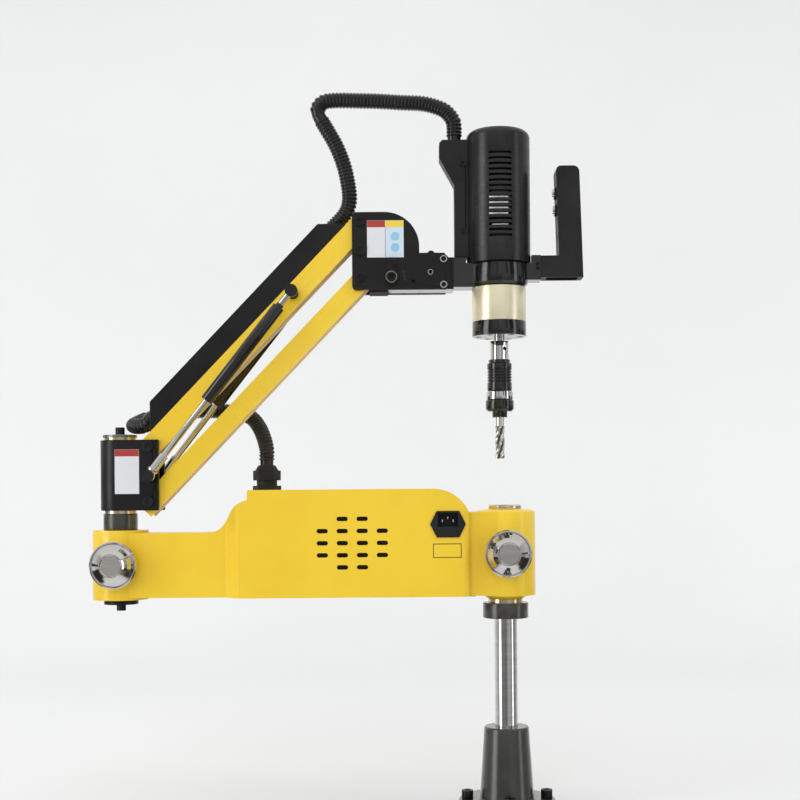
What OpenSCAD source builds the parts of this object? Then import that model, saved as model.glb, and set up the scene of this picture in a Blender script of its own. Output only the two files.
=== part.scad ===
// Bench drilling and tapping machine on a column, in millimetres, +Z up.
// The origin is on the column's axis at the underside of the foot; the front is -Y.

/* [Foot] */
// Diameter of the round flange
flange_d = 125; // [118:1:150]
// Thickness of the flange
flange_h = 14; // [10:0.5:20]
// Diameter of the cone where it meets the flange
cone_low_d = 70; // [62:1:76]
// Diameter of the cone's top
cone_top_d = 58; // [50:1:60]
// Height of the whole foot
foot_h = 108; // [90:1:140]
// Diameter of the circle of fixing screws
stud_circle_d = 103; // [98:1:106]
// Thread diameter of the fixing screws
stud_d = 10; // [8:1:11]
// Length of screw that stands out below the foot
stud_reach = 18; // [12:1:30]

/* [Column] */
// Diameter of the column
column_d = 30; // [26:0.5:32]
// Height of the support collar's underside
collar_rise = 249; // [200:1:300]
// Diameter of the support collar
collar_d = 59; // [50:1:64]
// Height of the support collar
collar_h = 20; // [16:1:28]
// Diameter of the bearing ring under the arm
bearing_d = 44; // [40:0.5:48]
// Thickness of the bearing ring
bearing_h = 4.8; // [3:0.1:6]
// Diameter of the cap on the column's top
cap_d = 43; // [40:1:60]
// Thickness of the cap
cap_h = 5.4; // [4:0.1:10]

/* [Lower arm] */
// Distance from the column's axis to the elbow's axis
arm_reach = 500; // [460:5:600]
// Height of the narrow part of the arm
arm_h = 83; // [76:0.5:88]
// Width of the narrow part of the arm
arm_w = 64; // [58:1:70]
// Diameter of the hub on the column
column_hub_d = 78; // [72:1:84]
// Height of the hub on the column
column_hub_h = 111; // [104:0.5:114]
// Height of the domed top of the hub on the column
hub_dome_h = 4; // [2:0.5:6]
// Width of the dome's slope, from the hub's side inwards
hub_dome_w = 16; // [6:1:16]
// Outer diameter of the bushes in the column hub
column_bush_d = 36; // [34:0.5:40]
// Diameter of the hub at the elbow
elbow_hub_d = 72; // [66:1:78]
// Height of the hub at the elbow
elbow_hub_h = 89.5; // [87:0.5:96]
// Outer diameter of the bushes in the elbow hub
elbow_bush_d = 31; // [29:0.5:34]
// Distance from the column's axis to the box's far end
box_left = 330; // [320:1:350]
// Distance from the column's axis to the box's near end
box_right = 48; // [46:1:52]
// Height of the box
box_h = 137; // [132:0.5:145]
// Width of the box
box_w = 104; // [98:1:110]
// Wall of the box
box_wall = 4.5; // [3:0.5:6]
// Radius of the box's convex shoulder
shoulder_r = 32; // [28:1:34]
// Radius of the hollow below the shoulder
hollow_r = 25; // [20:1:28]
// Straight length between the hollow and the shoulder
flank = 15; // [12:0.5:17]
// Radius of the box's end towards the column
crown_r = 50; // [46:1:54]
// Thickness of the cover under the box
cover_t = 2.5; // [2:0.5:3.5]

/* [Vent slots] */
// Length of one slot in the box
slot_l = 14.3; // [10:0.1:18]
// Height of one slot in the box
slot_h = 5.7; // [4:0.1:8]
// Distance between neighbouring slots along the arm
slot_pitch_x = 25.3; // [20:0.1:30]
// Distance between rows of slots
slot_pitch_z = 15.3; // [12:0.1:17]
// Distance from the column's axis to the middle of the slots
vent_x = 197; // [185:1:210]
// Height of the middle of the slots above the arm's underside
vent_rise = 69; // [62:1:74]

/* [Power inlet] */
// Width of the hexagonal flange
inlet_w = 45.4; // [42:0.2:46]
// Height of the hexagonal flange
inlet_h = 33.5; // [32.5:0.5:36]
// Distance from the column's axis to the inlet's middle
inlet_x = 76; // [74:0.5:80]
// Height of the box's top above the inlet's middle
inlet_drop = 45; // [42:0.5:50]

/* [Knobs] */
// Diameter of both clamp knobs
knob_d = 60; // [48:1:64]
// Depth of a knob from back to front
knob_depth = 26; // [20:0.5:30]
// Diameter of the clamp pads
pad_d = 12; // [10:0.5:14]
// Height of the column knob above the arm's underside
column_knob_rise = 54; // [50:0.5:58]
// Height of the elbow knob above the arm's underside
elbow_knob_rise = 43; // [40:0.5:46]

/* [Elbow] */
// Diameter of the elbow's shaft
shaft_d = 25; // [22:0.5:27]
// Diameter of the black collar on the elbow hub
elbow_collar_d = 44; // [40:1:48]
// Height of the black collar
elbow_collar_h = 21.5; // [16:0.5:26]
// Thickness of the thrust ring on the black collar
thrust_h = 3.8; // [2:0.1:5]
// Height of the pivot block
block_h = 91; // [88:1:96]
// Width of the pivot block
block_w = 50; // [49:0.5:54]
// Distance from the elbow's axis to the link pivots
pivot_out = 41; // [40:0.5:46]
// Height of the upper link pivot above the block's underside
pivot_rise = 82.5; // [81:0.5:84]
// Vertical distance between the two link pivots
pivot_gap = 71; // [69:0.5:73]
// Length of the block beyond the pivots
ear_past = 13; // [10:0.5:15]
// Diameter of the end discs on the shaft
end_disc_d = 44; // [36:1:46]

/* [Links] */
// Length of both links between their pivots
link_len = 396; // [380:1:440]
// Angle of the links above the horizontal
link_angle = 46.2; // [44:0.1:48]
// Width of the links
link_w = 36; // [32:0.5:37]
// Sheet thickness of the links
sheet_t = 3; // [2:0.1:3.5]
// Height of the upper link above its pivot line
upper_high = 12; // [11.5:0.1:13]
// Height of the lower link above its pivot line
lower_high = 10; // [9.5:0.1:10.5]
// Depth of both links below their pivot line
link_low = 15; // [12:0.5:15.5]
// Diameter of the link pins
pin_d = 10; // [8:0.5:11]
// Height of the cable cover on the upper link
cover_high = 27; // [25:0.5:30]
// Wall of the cable cover
cover_wall = 2; // [1:0.1:2.5]

/* [Gas springs] */
// Distance of each spring from the middle plane
spring_y = 46; // [45:0.5:50]
// Distance of the upper spring pivot along the upper link
spring_reach = 270; // [262:1:276]
// Distance of the lower spring pivot below the upper link pivot
spring_drop = 38.5; // [37:0.5:40]
// Diameter of the spring tubes
tube_d = 16; // [14:0.5:18]
// Length of the spring tubes
tube_len = 150; // [140:1:160]
// Diameter of the spring rods
rod_d = 8; // [6:0.5:10]

/* [Head bracket] */
// Thickness of each head plate
plate_t = 5.5; // [4:0.5:7]
// Height of the head plates
plate_h = 100; // [98:0.5:102]
// Distance from the link pivots to the back of the plates
plate_back = 10.6; // [9:0.2:14]
// Height of the plates above the upper link pivot
plate_over = 12.7; // [11:0.1:15]
// Radius of the plates' big round corner
plate_corner_r = 45; // [38:0.5:47]
// Distance from the link pivots forward to the tilt screw
tilt_out = 39.9; // [39.5:0.1:42]
// Distance from the upper link pivot down to the tilt screw
tilt_drop = 72.3; // [71.8:0.1:73]
// Diameter of the tilt screw
tilt_screw_d = 10; // [8:0.5:12]
// Distance from the tilt screw forward to the plates' end
tongue_len = 75; // [72:0.5:78]

/* [Motor] */
// Distance from the tilt screw to the motor's axis
motor_out = 139.5; // [138:0.5:150]
// Diameter of the motor cover
motor_d = 82.5; // [78:0.5:86]
// Height of the motor cover
motor_h = 172; // [166:1:188]
// Wall of the motor cover
motor_wall = 3; // [2:0.5:3.5]
// Radius of the motor cover's top edge
motor_round = 10; // [6:0.5:16]
// Width of the slots in the motor cover
motor_slot_w = 29; // [22:1:36]
// Height of the slots in the motor cover
motor_slot_h = 3; // [2:0.1:4]
// Distance between the slots in the motor cover
motor_slot_pitch = 7; // [6.4:0.1:7.6]
// Diameter of the ring between motor and gearbox
clamp_d = 75; // [72:1:79]
// Height of the ring between motor and gearbox
clamp_h = 31; // [28:0.5:34]

/* [Gearbox and spindle] */
// Diameter of the gearbox
gearbox_d = 70; // [64:0.5:74]
// Height of the gearbox
gearbox_h = 44; // [40:0.5:50]
// Height of the output flange
out_flange_h = 19; // [15:0.5:24]
// Tooth size of the gears, as pitch diameter per tooth
gear_module = 1; // [0.9:0.01:1.05]
// Diameter of the output shaft
output_d = 14; // [12:0.5:16]
// Diameter of the tool adapter's neck
adapter_d = 24; // [20:0.5:25]
// Length of the tool adapter's neck
adapter_neck = 24; // [20:0.5:30]
// Diameter of the release sleeve
sleeve_d = 32; // [28:0.5:36]
// Length of the release sleeve
sleeve_len = 41; // [36:0.5:48]
// Diameter of the ring below the release sleeve
ring_d = 35; // [31:0.5:38]
// Height of the ring below the release sleeve
ring_h = 11; // [8:0.5:14]
// Diameter of the collet nut
nut_d = 36.5; // [33:0.5:40]
// Height of the collet nut
nut_h = 15; // [12:0.5:18]
// Diameter of the collet's end below the nut
collet_d = 19.5; // [17:0.5:22]
// Length of the collet's end below the nut
collet_len = 7.5; // [5:0.5:10]
// Diameter of the cutter's shank
shank_d = 11; // [8:0.5:12]
// Diameter of the cutter's flutes
flute_d = 12.5; // [9:0.5:14]
// Length of the cutter's flutes
flute_len = 42; // [30:1:55]
// Length of bare shank between the collet and the flutes
shank_bare = 11.5; // [6:0.5:16]

/* [Handle] */
// Distance from the motor's axis to the near side of the grip
grip_out = 77; // [73:0.5:84]
// Width of the grip as seen from the front
grip_w = 30; // [26:0.5:35]
// Depth of the grip from front to back
grip_depth = 30; // [24:0.5:36]
// Height of the grip above the handle's arm
grip_h = 116; // [105:1:130]
// Height of the handle's arm
handle_arm_h = 28; // [26:0.5:32]
// Sideways lean of the grip over its height
grip_lean = 3; // [0:0.5:5]
// Diameter of the two buttons
button_d = 11; // [8:0.5:14]
// Height of the upper button above the handle's arm
button_rise = 83; // [74:0.5:90]
// Distance between the two buttons
button_pitch = 22; // [20:0.5:26]

/* [Ribbed hoses] */
// Outer diameter over the ribs
hose_d = 20.5; // [18:0.1:21]
// Depth of the grooves between the ribs
rib_depth = 1.3; // [0.8:0.1:1.8]
// Distance between neighbouring ribs
rib_pitch = 4.5; // [4.4:0.1:5.5]
// Diameter of the bore in the hoses
hose_bore = 15; // [12:0.1:15.4]

/* [Hidden] */
$fn = 64;

// Clearances: between turning parts, between parts fixed to each other, and between free neighbours
run = 0.05;
snug = 0.02;
air = 0.3;
// Overshoot of a cut beyond the face that it opens
cut = 1;

black = "#1c1d1f";
yellow = "#f2c918";
chrome = "#d8dadd";
steel = "#b9bcc0";
brass = "#c9a24b";

// Heights on the column, from the foot up
column_r = column_d / 2;
column_seat = 20;
collar_z0 = collar_rise;
collar_z1 = collar_z0 + collar_h;
bearing_z1 = collar_z1 + bearing_h;
neck_z = bearing_z1 + 0.2;
neck_h = 5;
hub_z0 = neck_z + neck_h;
hub_z1 = hub_z0 + column_hub_h;
arm_z = hub_z0 + 1;
arm_top = arm_z + arm_h;
box_top = arm_z + box_h;
cap_z0 = hub_z1 + air;
// The arm's top meets the hub just above the lower edge of its domed top
arm_meet_z = hub_z1 - 0.75 * hub_dome_h;
spigot_r = 8;
spigot_len = 18;

// Elbow axis and heights
elbow_x = -arm_reach;
elbow_z0 = arm_z - 3;
elbow_z1 = elbow_z0 + elbow_hub_h;
shaft_r = shaft_d / 2;
elbow_collar_z1 = elbow_z1 + elbow_collar_h;
thrust_z1 = elbow_collar_z1 + thrust_h;
block_z0 = thrust_z1 + 0.2;
block_z1 = block_z0 + block_h;
end_disc_h = 5;
end_disc_gap = 1.5;
shaft_z0 = elbow_z0 - end_disc_gap;
top_ring_h = 3.5;
shaft_z1 = block_z1 + top_ring_h;
top_disc_h = 3.5;

// Link pivots at the block (A above B) and at the head (C above D)
pivot_a = [elbow_x + pivot_out, block_z0 + pivot_rise];
pivot_b = pivot_a - [0, pivot_gap];
link_dir = [cos(link_angle), sin(link_angle)];
link_up = [-sin(link_angle), cos(link_angle)];
pivot_c = pivot_a + link_len * link_dir;
pivot_d = pivot_c - [0, pivot_gap];
pin_r = pin_d / 2;
link_half = link_w / 2;
ear_in = link_half + 0.5;
ear_out = block_w / 2;
link_end_r = 14;
bush_wall = 2;
bush_r = pin_r + bush_wall + run;
bush_half = link_half + 0.3;

// Gas springs: Q on the upper link, P on the block, both in the springs' planes
spring_q = pivot_a + spring_reach * link_dir;
spring_p = pivot_a + [4, -spring_drop];
spring_vec = spring_p - spring_q;
spring_len = norm(spring_vec);
spring_tilt = atan2(spring_vec[1], spring_vec[0]);
tube_r = tube_d / 2;
rod_r = rod_d / 2;
tube_start = 26;
socket_r = 8;
socket_half = 5.5;
q_ball_r = 4.5;
p_ball_r = 3.8;
p_cavity_r = 5.9;

// Head bracket
plate_in = link_half + 0.5;
plate_out = plate_in + plate_t;
plate_x0 = pivot_c[0] - plate_back;
plate_z1 = pivot_c[1] + plate_over;
plate_z0 = plate_z1 - plate_h;
tilt_x = pivot_c[0] + tilt_out;
tilt_z = pivot_c[1] - tilt_drop;
tilt_r = tilt_screw_d / 2;
tongue_top = tilt_z + 32;
tongue_x = tilt_x + 36;
tongue_end = tilt_x + tongue_len;
tilt_end_r = 14;
tilt_half = plate_in - air;
neck_x = tilt_x + tongue_len + 5;
neck_half = 16;

// Motor, gearbox and spindle, all on one upright axis
motor_x = tilt_x + motor_out;
motor_r = motor_d / 2;
clamp_r = clamp_d / 2;
motor_z0 = tilt_z + 20;
motor_z1 = motor_z0 + motor_h;
clamp_z0 = motor_z0 - clamp_h;
gear_z1 = clamp_z0;
gear_z0 = gear_z1 - gearbox_h;
out_z0 = gear_z0 - out_flange_h;
gearbox_r = gearbox_d / 2;
output_r = output_d / 2;
rotor_shaft_r = 5;
rotor_r = 22;
stator_bore = 23;
stator_r = motor_r - motor_wall - 2;
stator_z1 = motor_z1 - motor_wall - 15;
stator_plate = 8;

// Planetary gears: sun and planets have the same tooth count, the ring three times as many
sun_teeth = 18;
ring_teeth = 3 * sun_teeth;
planet_orbit = gear_module * sun_teeth;
gear_h = 14;
carrier_h = 7;
carrier_z0 = gear_z0 + 0.5;
carrier_z1 = carrier_z0 + carrier_h;
mesh_z0 = carrier_z1 + 0.5;
mesh_z1 = mesh_z0 + gear_h;
planet_pin_r = 3;
gear_room_r = (ring_teeth / 2 - 1.3) * gear_module;
mesh_turn = 180 / sun_teeth;

// Tool heights, going down from the output flange
adapter_z1 = out_z0 - 6;
sleeve_z1 = adapter_z1 - adapter_neck;
sleeve_z0 = sleeve_z1 - sleeve_len;
ring_z1 = sleeve_z0 - 0.2;
ring_z0 = ring_z1 - ring_h;
nut_z0 = ring_z0 - nut_h;
collet_z0 = nut_z0 - collet_len;
flute_z1 = collet_z0 - shank_bare;
flute_z0 = flute_z1 - flute_len;
adapter_r = adapter_d / 2;
shank_r = shank_d / 2;
collet_body_r = 8.9;
spigot_out_r = 13;

// Handle
handle_z0 = motor_z0 - 19;
handle_z1 = handle_z0 + handle_arm_h;
lug_x0 = motor_x + clamp_r - 8;
lug_x1 = motor_x + 53.5;
grip_x0 = motor_x + grip_out;
grip_x1 = grip_x0 + grip_w;
grip_z1 = handle_z1 + grip_h;
button_r = button_d / 2;
button_travel = 2.5;
button_out = 5;

// Cable box beside the motor
box_x0 = motor_x - motor_r - 35.3;
box_x1 = motor_x - motor_r - 16.3;
box_z0 = motor_z0 + 8;
box_z1 = motor_z1 - 12;
cable_half = 13;
cable_wall = 2.5;
hose_drop_x = motor_x - motor_r - 15.5;

// Gland on the arm's box
gland_x = -box_left + 18;
gland_y = 28;
gland_z1 = box_top + 33;

// Hose along the upper link: height of its axis over the pivot line, and where its three parts meet
hose_r = hose_d / 2;
hose_over = upper_high + 13.5;
hose_from = 36;
hose_to = 330;

// Point on the upper link from its place along it and its height over the pivot line
function on_link(s, h) = [pivot_a[0] + s * link_dir[0] + h * link_up[0], 0,
    pivot_a[1] + s * link_dir[1] + h * link_up[1]];
// Points along an arc in a plane, from angle a0 to angle a1
function arc(cx, cy, r, a0, a1, n) = [for (i = [0:n])
    let (a = a0 + (a1 - a0) * i / n)
    [cx + r * cos(a), cy + r * sin(a)]];
// The same points in the opposite order and mirrored in the second coordinate
function mirrored(p) = [for (i = [len(p) - 1:-1:0]) [p[i][0], -p[i][1]]];

// Routes of the two free hoses, from their lower to their upper ends
// Points near the elbow count from its axis and the block's top, points near the head from pivot C
function by_elbow(x, y, z) = [elbow_x + x, y, block_z1 + z];
function by_head(x, z) = [pivot_c[0] + x, 0, pivot_c[1] + z];
function by_box(x, z) = [hose_drop_x + x, 0, box_z1 + z];
lower_route = [[gland_x, gland_y, gland_z1], [gland_x, gland_y, gland_z1 + 10],
    [gland_x, gland_y, gland_z1 + 21], [gland_x - 4, gland_y + 5, gland_z1 + 36],
    [gland_x - 11, gland_y + 13, gland_z1 + 51], [gland_x - 22, gland_y + 22, gland_z1 + 64],
    [gland_x - 39, gland_y + 31, gland_z1 + 71], by_elbow(130, 65, 41), by_elbow(110, 68, 42),
    by_elbow(88, 69, 42), by_elbow(66, 68, 41), by_elbow(45, 64, 38), by_elbow(29, 56, 33),
    by_elbow(19, 45, 27), by_elbow(13, 32, 22), by_elbow(15, 18, 20), by_elbow(23, 6, 18.5),
    on_link(hose_from - 21, hose_over), on_link(hose_from - 10, hose_over), on_link(hose_from, hose_over)];
upper_route = [on_link(hose_to, hose_over), on_link(hose_to + 12, hose_over),
    on_link(hose_to + 24, hose_over), by_head(-26, 8), by_head(-17, 21), by_head(-14, 36),
    by_head(-16, 55), by_head(-21, 78), by_head(-30, 102), by_head(-41, 122), by_head(-48, 134),
    by_head(-53, 142.5), by_head(-54.5, 149.5), by_head(-52, 156.5), by_head(-46, 161),
    by_head(-38, 162.5), by_head(-26, 163), by_head(-5, 162.5), by_head(25, 161.5),
    by_head(55, 159.5), by_box(-43, 50.5), by_box(-25, 46.5), by_box(-11, 40), by_box(-2, 29), by_box(0, 21),
    by_box(0, 10), by_box(0, 0)];

// Upright round bar, and a bar that lies along Y
module bar_z(r, z0, z1, x = 0, y = 0) translate([x, y, z0]) cylinder(r = r, h = z1 - z0);
module bar_y(r, y0, y1, x, z) translate([x, y1, z]) rotate([90, 0, 0]) cylinder(r = r, h = y1 - y0);
// Flat outline in X and Z, given depth from y0 to y1
module prism_y(y0, y1) translate([0, y1, 0]) rotate([90, 0, 0]) linear_extrude(height = y1 - y0) children();
// Block given by its two opposite corners
module block(low, high) translate(low) cube(high - low);
// What it holds, once in front and once mirrored behind the middle plane
module both_sides() {
    children();
    mirror([0, 1, 0]) children();
}
// Frame of a link: X along it from its lower pivot, Z square to it
module on_pivot(p) translate([p[0], 0, p[1]]) rotate([0, -link_angle, 0]) children();
// Frame of the springs: X from the upper to the lower ball
module on_spring(y) translate([spring_q[0], y, spring_q[1]]) rotate([0, -spring_tilt, 0]) children();
// Socket head screw that points down: head from z up, shank below
module cap_screw(x, y, z, d, head_d, head_h, reach) difference() {
    union() {
        bar_z(head_d / 2, z, z + head_h, x, y);
        bar_z(d / 2, z - reach, z + 0.1, x, y);
    }
    translate([x, y, z + head_h * 0.45]) cylinder(r = d * 0.46, h = head_h, $fn = 6);
}
// Socket head screw that points backwards from the front face at y
module front_screw(x, z, y, d, head_d, head_h, reach) difference() {
    union() {
        bar_y(head_d / 2, y - head_h, y, x, z);
        bar_y(d / 2, y - 0.1, y + reach, x, z);
    }
    translate([x, y - head_h * 0.45, z]) rotate([90, 0, 0]) cylinder(r = d * 0.4, h = head_h, $fn = 6);
}

// Foot: round flange and cone, bored from above for the column
base_screw_angles = [0, 90, 180, 270];
module base_casting() color("#45463f") difference() {
    rotate_extrude($fn = 96) polygon([[0, 0], [flange_d / 2 - 1, 0], [flange_d / 2, 1],
        [flange_d / 2, flange_h - 1.5], [flange_d / 2 - 1.5, flange_h], [cone_low_d / 2 + 2, flange_h],
        [cone_low_d / 2, flange_h + 2], [cone_top_d / 2, foot_h - 1.5],
        [cone_top_d / 2 - 1.5, foot_h], [0, foot_h]]);
    bar_z(column_r + snug, column_seat, foot_h + cut);
    for (a = base_screw_angles) rotate(a)
        bar_z(stud_d / 2 + 0.25, -cut, flange_h + cut, stud_circle_d / 2);
}

// Fixing screws of the foot, with a shank a little thicker than the thread, and the set screw
// behind the support collar
set_screw_d = 8;
shank_extra = 0.1;
module base_screws() color(black) {
    for (a = base_screw_angles) rotate(a)
        union() {
            cap_screw(stud_circle_d / 2, 0, flange_h, stud_d + 2 * shank_extra, stud_d * 1.5,
                stud_d * 1.1, flange_h);
            bar_z(stud_d / 2, -stud_reach, shank_extra, stud_circle_d / 2);
        }
    difference() {
        bar_y(set_screw_d / 2, column_r + run, collar_d / 2 + 1, 0, collar_z0 + collar_h / 2);
        translate([0, collar_d / 2 + 2, collar_z0 + collar_h / 2]) rotate([90, 0, 0])
            cylinder(r = 2.3, h = 5, $fn = 6);
    }
}

module column() color(chrome) difference() {
    bar_z(column_r, column_seat, hub_z1);
    bar_z(spigot_r + snug, hub_z1 - spigot_len - 1, hub_z1 + cut);
}

module support_collar() color("#3b3a35") difference() {
    rotate_extrude($fn = 96) polygon([[column_r + snug, collar_z0], [collar_d / 2 - 1, collar_z0],
        [collar_d / 2, collar_z0 + 1], [collar_d / 2, collar_z1 - 1], [collar_d / 2 - 1, collar_z1],
        [column_r + snug, collar_z1]]);
    bar_y(set_screw_d / 2 + snug, column_r - cut, collar_d / 2 + cut, 0, collar_z0 + collar_h / 2);
}

module column_bearing() color(brass) difference() {
    bar_z(bearing_d / 2, collar_z1, bearing_z1);
    bar_z(column_r + 0.15, collar_z1 - cut, bearing_z1 + cut);
}

// Cap that keeps the arm on the column: a disc with a spigot in the column's end
module column_cap() color("#e9e6da") difference() {
    union() {
        rotate_extrude($fn = 96) polygon([[0, cap_z0], [cap_d / 2, cap_z0],
            [cap_d / 2, cap_z0 + cap_h - 1.5],
            [cap_d / 2 - 1.5, cap_z0 + cap_h], [0, cap_z0 + cap_h]]);
        bar_z(column_r - 1, hub_z1, cap_z0 + 0.1);
        bar_z(spigot_r, hub_z1 - spigot_len, hub_z1 + 0.1);
    }
    translate([0, 0, cap_z0 + cap_h - 5]) cylinder(r = 5.8, h = 6, $fn = 6);
}

// Side outline of the arm and its box, in X and Z
shoulder_x = -box_left - shoulder_r * cos(99);
shoulder_z = arm_top + hollow_r / 2 + flank * sin(60) - shoulder_r / 2;
hollow_x = shoulder_x + shoulder_r * cos(150) - flank * cos(60) - hollow_r * cos(30);
crown_x = -box_right - 47;
crown_z = box_top - crown_r;
module arm_side() polygon(concat([[elbow_x, arm_z], [elbow_x, arm_top]],
    arc(hollow_x, arm_top + hollow_r, hollow_r, 270, 330, 8),
    arc(shoulder_x, shoulder_z, shoulder_r, 150, 99, 8),
    arc(-box_left + 3, box_top - 3, 3, 180, 90, 4),
    arc(crown_x, crown_z, crown_r, 90, asin((arm_meet_z - crown_z) / crown_r), 12),
    [[0, arm_meet_z], [0, arm_z]]));

// Plan outline of the arm and its box: narrow towards the elbow, then an S-shaped step out to the box
plan_corner = 10;
step_len = 19;
plan_half = concat([[elbow_x, arm_w / 2]],
    [for (i = [0:8]) [-box_left - 11 - step_len * (1 - i / 8),
        (arm_w + (box_w - arm_w) * (1 - cos(180 * i / 8)) / 2) / 2]],
    arc(-box_right - plan_corner, box_w / 2 - plan_corner, plan_corner, 90, 0, 6),
    [[-box_right, column_hub_d / 2 - 2], [0, column_hub_d / 2 - 2]]);
module arm_plan() polygon(concat(plan_half, mirrored(plan_half)));

// Outline of the cover under the box, with a tab at each end; grow widens it for its recess
tab_half = 18;
cover_x0 = -box_left + 3;
cover_x1 = -box_right - 8;
tab_reach = 25;
module cover_plan(grow) {
    translate([cover_x0 - grow, -box_w / 2 + box_wall - grow])
        square([cover_x1 - cover_x0 + 2 * grow, box_w - 2 * box_wall + 2 * grow]);
    translate([cover_x0 - tab_reach - grow, -tab_half - grow])
        square([cover_x1 - cover_x0 + 2 * tab_reach - 3 + 2 * grow, 2 * (tab_half + grow)]);
}
cover_screw_at = [for (x = [cover_x0 - 16, cover_x1 + 13], y = [-10, 10]) [x, y]];

// Slot with round ends, lying along X
module slot(l, h) {
    square([l - h, h], center = true);
    for (s = [-1, 1]) translate([s * (l - h) / 2, 0]) circle(d = h);
}
// Rows of slots in the box's front and back walls, from the lowest row up
slots_per_row = [2, 4, 4, 4, 2];
module vent_slots() prism_y(-box_w / 2 - cut, box_w / 2 + cut)
    for (row = [0:4], i = [0:slots_per_row[row] - 1])
        translate([-vent_x + (i - (slots_per_row[row] - 1) / 2) * slot_pitch_x,
            arm_z + vent_rise + (row - 2) * slot_pitch_z])
            slot(slot_l, slot_h);

// Inlet body behind the hexagonal flange, measured from the flange's middle
inlet_z = box_top - inlet_drop;
inlet_body_half = 14;
inlet_low = -4.5;
inlet_high = 15.5;
inlet_flange_t = 2;
inlet_depth = 16;
inlet_back = 6;
pin_len = 9;
boss_r = 13;
column_boss_y = -column_hub_d / 2 - 3;
elbow_boss_y = -elbow_hub_d / 2 - 3;
column_knob_z = arm_z + column_knob_rise;
elbow_knob_z = arm_z + elbow_knob_rise;
gland_hole_r = 9.5;
cavity_x1 = -box_right - 10;

hub_dome = [for (i = [0:6])
    [column_hub_d / 2 - hub_dome_w * (1 - cos(15 * i)), hub_z1 - hub_dome_h * (1 - sin(15 * i))]];
module arm_casting() color(yellow) difference() {
    union() {
        intersection() {
            prism_y(-box_w, box_w) arm_side();
            translate([0, 0, arm_z - cut]) linear_extrude(height = box_h + 2 * cut) arm_plan();
        }
        rotate_extrude($fn = 96)
            polygon(concat([[0, hub_z0], [column_hub_d / 2, hub_z0]], hub_dome, [[0, hub_z1]]));
        translate([0, 0, neck_z])
            cylinder(r1 = column_bush_d / 2 + 4, r2 = column_hub_d / 2 - 8, h = neck_h + 0.01);
        bar_z(elbow_hub_d / 2, elbow_z0, elbow_z1, elbow_x);
        bar_y(boss_r, column_boss_y, -column_bush_d / 2 - 2, 0, column_knob_z);
        bar_y(boss_r, elbow_boss_y, -elbow_bush_d / 2 - 2, elbow_x, elbow_knob_z);
    }
    block([-box_left + 5, -box_w / 2 + box_wall, arm_z - 5],
        [crown_x + 3, box_w / 2 - box_wall, box_top - 5]);
    block([crown_x, -box_w / 2 + box_wall, arm_z - 5], [cavity_x1, box_w / 2 - box_wall, crown_z + 27]);
    translate([0, 0, arm_z - 10]) linear_extrude(height = 10 + cover_t) cover_plan(0.2);
    bar_z(column_bush_d / 2 + snug, neck_z - cut, hub_z1 + cut);
    bar_z(elbow_bush_d / 2 + snug, elbow_z0 - cut, elbow_z1 + cut, elbow_x);
    bar_y(pad_d / 2 + run, column_boss_y - cut, 0, 0, column_knob_z);
    bar_y(pad_d / 2 + run, elbow_boss_y - cut, 0, elbow_x, elbow_knob_z);
    vent_slots();
    block([-inlet_x - inlet_body_half - 0.1, -box_w, inlet_z + inlet_low - 0.1],
        [-inlet_x + inlet_body_half + 0.1, -box_w / 2 + inlet_depth + inlet_back + 0.5,
        inlet_z + inlet_high + 0.1]);
    bar_z(gland_hole_r + snug, box_top - 8, box_top + cut, gland_x, gland_y);
    for (p = cover_screw_at) bar_z(2 + snug, arm_z - cut, arm_z + 14, p[0], p[1]);
}

module bottom_cover() color("#2a2a2a") difference() {
    translate([0, 0, arm_z]) linear_extrude(height = cover_t) cover_plan(0);
    for (p = cover_screw_at) bar_z(2 + snug, arm_z - cut, arm_z + 5, p[0], p[1]);
}

module cover_screws() color(black) for (p = cover_screw_at) difference() {
    union() {
        bar_z(3.8, arm_z - 2.4, arm_z, p[0], p[1]);
        bar_z(2, arm_z - 0.1, arm_z + 12, p[0], p[1]);
    }
    translate([p[0], p[1], arm_z - 3]) cylinder(r = 1.4, h = 2, $fn = 6);
}

// Two bushes at the column, two at the elbow, and the thrust ring on the elbow's collar
module bush_z(r_out, r_in, z0, z1, x = 0) difference() {
    bar_z(r_out, z0, z1, x);
    bar_z(r_in, z0 - cut, z1 + cut, x);
}
module arm_bushes() color(brass) {
    bush_z(column_bush_d / 2, column_r + run, neck_z, column_knob_z - pad_d / 2 - 5);
    bush_z(column_bush_d / 2, column_r + run, column_knob_z + pad_d / 2 + 5, hub_z1);
    bush_z(elbow_bush_d / 2, shaft_r + run, elbow_z0, elbow_knob_z - pad_d / 2 - 4, elbow_x);
    bush_z(elbow_bush_d / 2, shaft_r + run, elbow_knob_z + pad_d / 2 + 4, elbow_z1, elbow_x);
    bush_z(elbow_collar_d / 2 - 1.5, shaft_r + 0.15, elbow_collar_z1, thrust_z1, elbow_x);
}

module elbow_collar() color(black) translate([elbow_x, 0, 0]) rotate_extrude($fn = 96) polygon([
    [shaft_r + 0.15, elbow_z1], [elbow_collar_d / 2 - 0.8, elbow_z1], [elbow_collar_d / 2, elbow_z1 + 0.8],
    [elbow_collar_d / 2, elbow_collar_z1 - 0.8], [elbow_collar_d / 2 - 0.8, elbow_collar_z1],
    [shaft_r + 0.15, elbow_collar_z1]]);

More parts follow.
